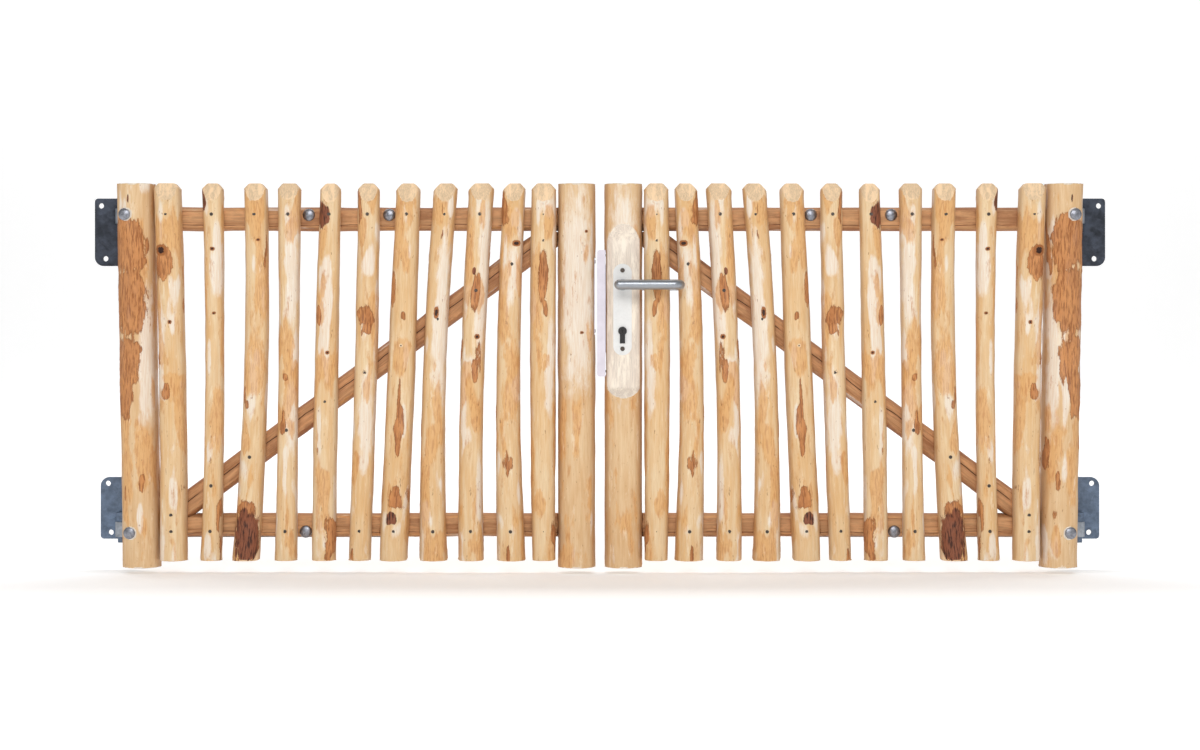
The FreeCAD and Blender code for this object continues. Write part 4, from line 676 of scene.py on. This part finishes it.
def domed_bolt():
    tree, given, result = shape_group("domed_bolt", (("Head Radius", "NodeSocketFloat"),
                                                     ("Head Height", "NodeSocketFloat"),
                                                     ("Shank Radius", "NodeSocketFloat"),
                                                     ("Length", "NodeSocketFloat"),
                                                     ("Steel", "NodeSocketMaterial")))
    part = shader(tree, "GeometryNodeSplineParameter").outputs["Factor"]
    rest = sums(tree, "SUBTRACT", 1.0, part)
    fall = sums(tree, "SUBTRACT", 1.0, sums(tree, "MULTIPLY", rest, rest))
    bow = sums(tree, "SQRT", sums(tree, "MAXIMUM", fall, 0.002), 0.0)
    head = turned(tree, (0.0, 0.0, 0.0), vector(tree, given["Head Height"]),
                  sums(tree, "MULTIPLY", bow, given["Head Radius"]), 32)
    shank = turned(tree, vector(tree, given["Head Height"]), vector(tree, given["Length"]),
                   given["Shank Radius"], 24)
    whole = shader(tree, "GeometryNodeJoinGeometry")
    tree.links.new(head, whole.inputs[0])
    tree.links.new(shank, whole.inputs[0])
    placed(tree, given, result, whole.outputs[0], given["Steel"])
    return tree


def ring_or_nut(name, sides):
    """A washer with many sides or a nut with six, with its edges eased."""
    tree, given, result = shape_group(name, (("Radius", "NodeSocketFloat"), ("Thick", "NodeSocketFloat"),
                                             ("Steel", "NodeSocketMaterial")))
    part = shader(tree, "GeometryNodeSplineParameter").outputs["Factor"]
    near_end = sums(tree, "ABSOLUTE", sums(tree, "SUBTRACT", part, 0.5), 0.0)
    eased = window(tree, near_end, 0.36, 0.5, 1.0, 0.9)
    body = turned(tree, (0.0, 0.0, 0.0), vector(tree, given["Thick"]),
                  sums(tree, "MULTIPLY", eased, given["Radius"]), sides)
    placed(tree, given, result, body, given["Steel"])
    return tree


bolt_head_height = 5 * mm
bolt_shank_radius = 5 * mm
least_bolt_length = 20 * mm
most_washer_thickness = 4 * mm
zinc_steel = metal("zinc_steel", srgb(150, 152, 160), 0.34, 0.40, 6 * mm, 0.10)
bolt_tree, washer_tree, nut_tree = domed_bolt(), ring_or_nut("washer", 32), ring_or_nut("hexagon_nut", 6)

for leaf, mirror in leaves:
    node = f"{leaf}_hinge_bolts"
    made = []
    for low, high in islands(node):
        wide, deep = float(high[0] - low[0]), float(high[1] - low[1])
        spot = [((low[0] + high[0]) / 2, low[1], (low[2] + high[2]) / 2)]
        if deep > least_bolt_length:
            made.append(grown("bolt", bolt_tree, spot, {
                "Head Radius": wide / 2, "Head Height": bolt_head_height,
                "Shank Radius": bolt_shank_radius, "Length": deep,
                "Steel": zinc_steel}))
        elif deep < most_washer_thickness:
            made.append(grown("washer", washer_tree, spot, {"Radius": wide / 2, "Thick": deep,
                                                            "Steel": zinc_steel}))
        else:
            made.append(grown("nut", nut_tree, spot, {"Radius": wide / 2, "Thick": deep,
                                                      "Steel": zinc_steel}))
    piece = collected(f"{node}_steel", made, zinc_steel)
    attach(piece, f"{leaf}_leaf")
    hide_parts(node)


# ---------------------------------------------------------------- pillar plates, straps and drop bolt
# Steel plates that fix the gate to its pillars, each with a welded arm and pin, and the straps whose
# rolled eyes turn on them. All hot-dip galvanised: the upper plates have weathered nearly black.

def finish_nodes(material, *names):
    for name in names:
        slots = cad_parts[name].data.materials
        slots.clear()
        slots.append(material)


dark_plate = metal("dark_plate_steel", srgb(66, 72, 84), 0.50, 0.75, 26 * mm, 0.12, metallic=0.55)
light_plate = metal("light_plate_steel", srgb(108, 124, 146), 0.50, 0.45, 22 * mm, 0.12, metallic=0.55)
galvanised = metal("galvanised_steel", srgb(166, 172, 180), 0.42, 0.32, 14 * mm, 0.12)
for leaf, mirror in leaves:
    finish_nodes(dark_plate, f"{leaf}_upper_pin_plate")
    finish_nodes(light_plate, f"{leaf}_lower_pin_plate")
    finish_nodes(galvanised, f"{leaf}_upper_strap", f"{leaf}_lower_strap")
finish_nodes(galvanised, "left_drop_bolt_guide", "drop_bolt_rod")


# ---------------------------------------------------------------- lock
# A mortise lock in the right closing post: enamelled cover plates, a satin aluminium lever each side,
# a black key cylinder and plug, and a long pale cover over the gap.

def enamel(name, colour, roughness, coat):
    """Paint or lacquer over metal: nearly even, with a faint orange-peel surface and worn tone."""
    material = bpy.data.materials.new(name)
    material.use_nodes = True
    tree = material.node_tree
    surface = tree.nodes["Principled BSDF"]
    place = shader(tree, "ShaderNodeTexCoord").outputs["Object"]
    worn = window(tree, noise(tree, place, 30.0, 4.0, 0.6), 0.35, 0.7)
    dusty = tuple(part * 0.90 for part in colour[:3]) + (1.0,)
    tree.links.new(blended(tree, worn, colour, dusty), surface.inputs["Base Color"])
    shine = sums(tree, "ADD", sums(tree, "MULTIPLY", worn, 0.10), roughness)
    tree.links.new(shine, surface.inputs["Roughness"])
    peel = noise(tree, place, 420.0, 2.0)
    relief = shader(tree, "ShaderNodeBump", {"Strength": 0.12, "Distance": 0.1 * mm, "Height": peel})
    tree.links.new(relief.outputs["Normal"], surface.inputs["Normal"])
    surface.inputs["Coat Weight"].default_value = coat
    return material


finish_nodes(enamel("white_plate", srgb(246, 246, 244), 0.22, 0.5), "front_cover_plate", "back_cover_plate")
finish_nodes(enamel("black_cylinder", srgb(30, 30, 32), 0.35, 0.2), "key_cylinder")
finish_nodes(enamel("lock_steel", srgb(234, 228, 239), 0.34, 0.1),
             "lock_forend", "left_strike_plate", "lock_case")
finish_nodes(metal("lever_aluminium", srgb(164, 168, 174), 0.34, 0.06, 40 * mm, 0.10),
             "front_lever", "back_lever")
finish_nodes(enamel("black_plug", srgb(44, 42, 42), 0.30, 0.2), "key_plug")
finish_nodes(metal("bolt_steel", srgb(168, 168, 172), 0.32, 0.15, 10 * mm, 0.10), "latch_bolt", "dead_bolt",
             "lock_follower")
finish_nodes(screw_steel, "lock_screws", "left_hardware_screws")


# ---------------------------------------------------------------- studio
# A pale, faintly self-lit floor that curves up into a backdrop, broad soft light from the front and
# a long lens that looks straight at the gate from just below the lever.

def sweep(name, floor_z, near, far, wide, tall, bend, colour):
    """Floor and backdrop in one sheet, joined by a quarter round."""
    steps = 16
    profile = [(near, floor_z), (far - bend, floor_z)]
    for step in range(1, steps + 1):
        turn = math.pi / 2 * step / steps
        profile.append((far - bend + bend * math.sin(turn), floor_z + bend - bend * math.cos(turn)))
    profile.append((far, tall))
    points = [(x, y, z) for y, z in profile for x in (-wide / 2, wide / 2)]
    faces = [(2 * i, 2 * i + 1, 2 * i + 3, 2 * i + 2) for i in range(len(profile) - 1)]
    mesh = bpy.data.meshes.new(name)
    mesh.from_pydata(points, [], faces)
    for face in mesh.polygons:
        face.use_smooth = True
    material = bpy.data.materials.new(name)
    material.use_nodes = True
    surface = material.node_tree.nodes["Principled BSDF"]
    surface.inputs["Base Color"].default_value = colour
    surface.inputs["Roughness"].default_value = 0.9
    surface.inputs["Specular IOR Level"].default_value = 0.1
    surface.inputs["Emission Color"].default_value = colour
    surface.inputs["Emission Strength"].default_value = 0.22
    mesh.materials.append(material)
    return new_piece(name, mesh)


def softbox(name, place, aim, wide, tall, power):
    data = bpy.data.lights.new(name, "AREA")
    data.shape = "RECTANGLE"
    data.size, data.size_y, data.energy = wide, tall, power
    lamp = new_piece(name, data)
    lamp.location = place
    lamp.rotation_euler = (Vector(aim) - Vector(place)).to_track_quat("-Z", "Y").to_euler()


sweep("studio_floor", -14 * mm, -14.0, 13.0, 44.0, 12.0, 3.0, srgb(250, 250, 250))
softbox("front_light", (0.0, -4.6, 2.6), (0.0, 0.0, 0.35), 2.6, 1.8, 96)
softbox("left_light", (-4.2, -3.2, 1.6), (0.0, 0.0, 0.4), 1.6, 2.4, 8)
softbox("right_light", (4.2, -3.2, 1.6), (0.0, 0.0, 0.4), 1.6, 2.4, 8)
softbox("backdrop_light", (0.0, 2.6, 7.6), (0.0, 7.6, 0.0), 14.0, 3.0, 620)

world = bpy.data.worlds.new("studio_air")
world.use_nodes = True
world.node_tree.nodes["Background"].inputs["Color"].default_value = (1.0, 1.0, 1.0, 1.0)
world.node_tree.nodes["Background"].inputs["Strength"].default_value = 0.34
bpy.context.scene.world = world
bpy.context.scene.view_settings.view_transform = "Standard"

eye = bpy.data.cameras.new("eye")
eye.lens, eye.sensor_width, eye.shift_y = 60.0, 36.0, -0.05
camera = new_piece("eye", eye)
camera.location = (0.0, -4.02, 0.505)
camera.rotation_euler = (math.pi / 2, 0.0, 0.0)
bpy.context.scene.camera = camera
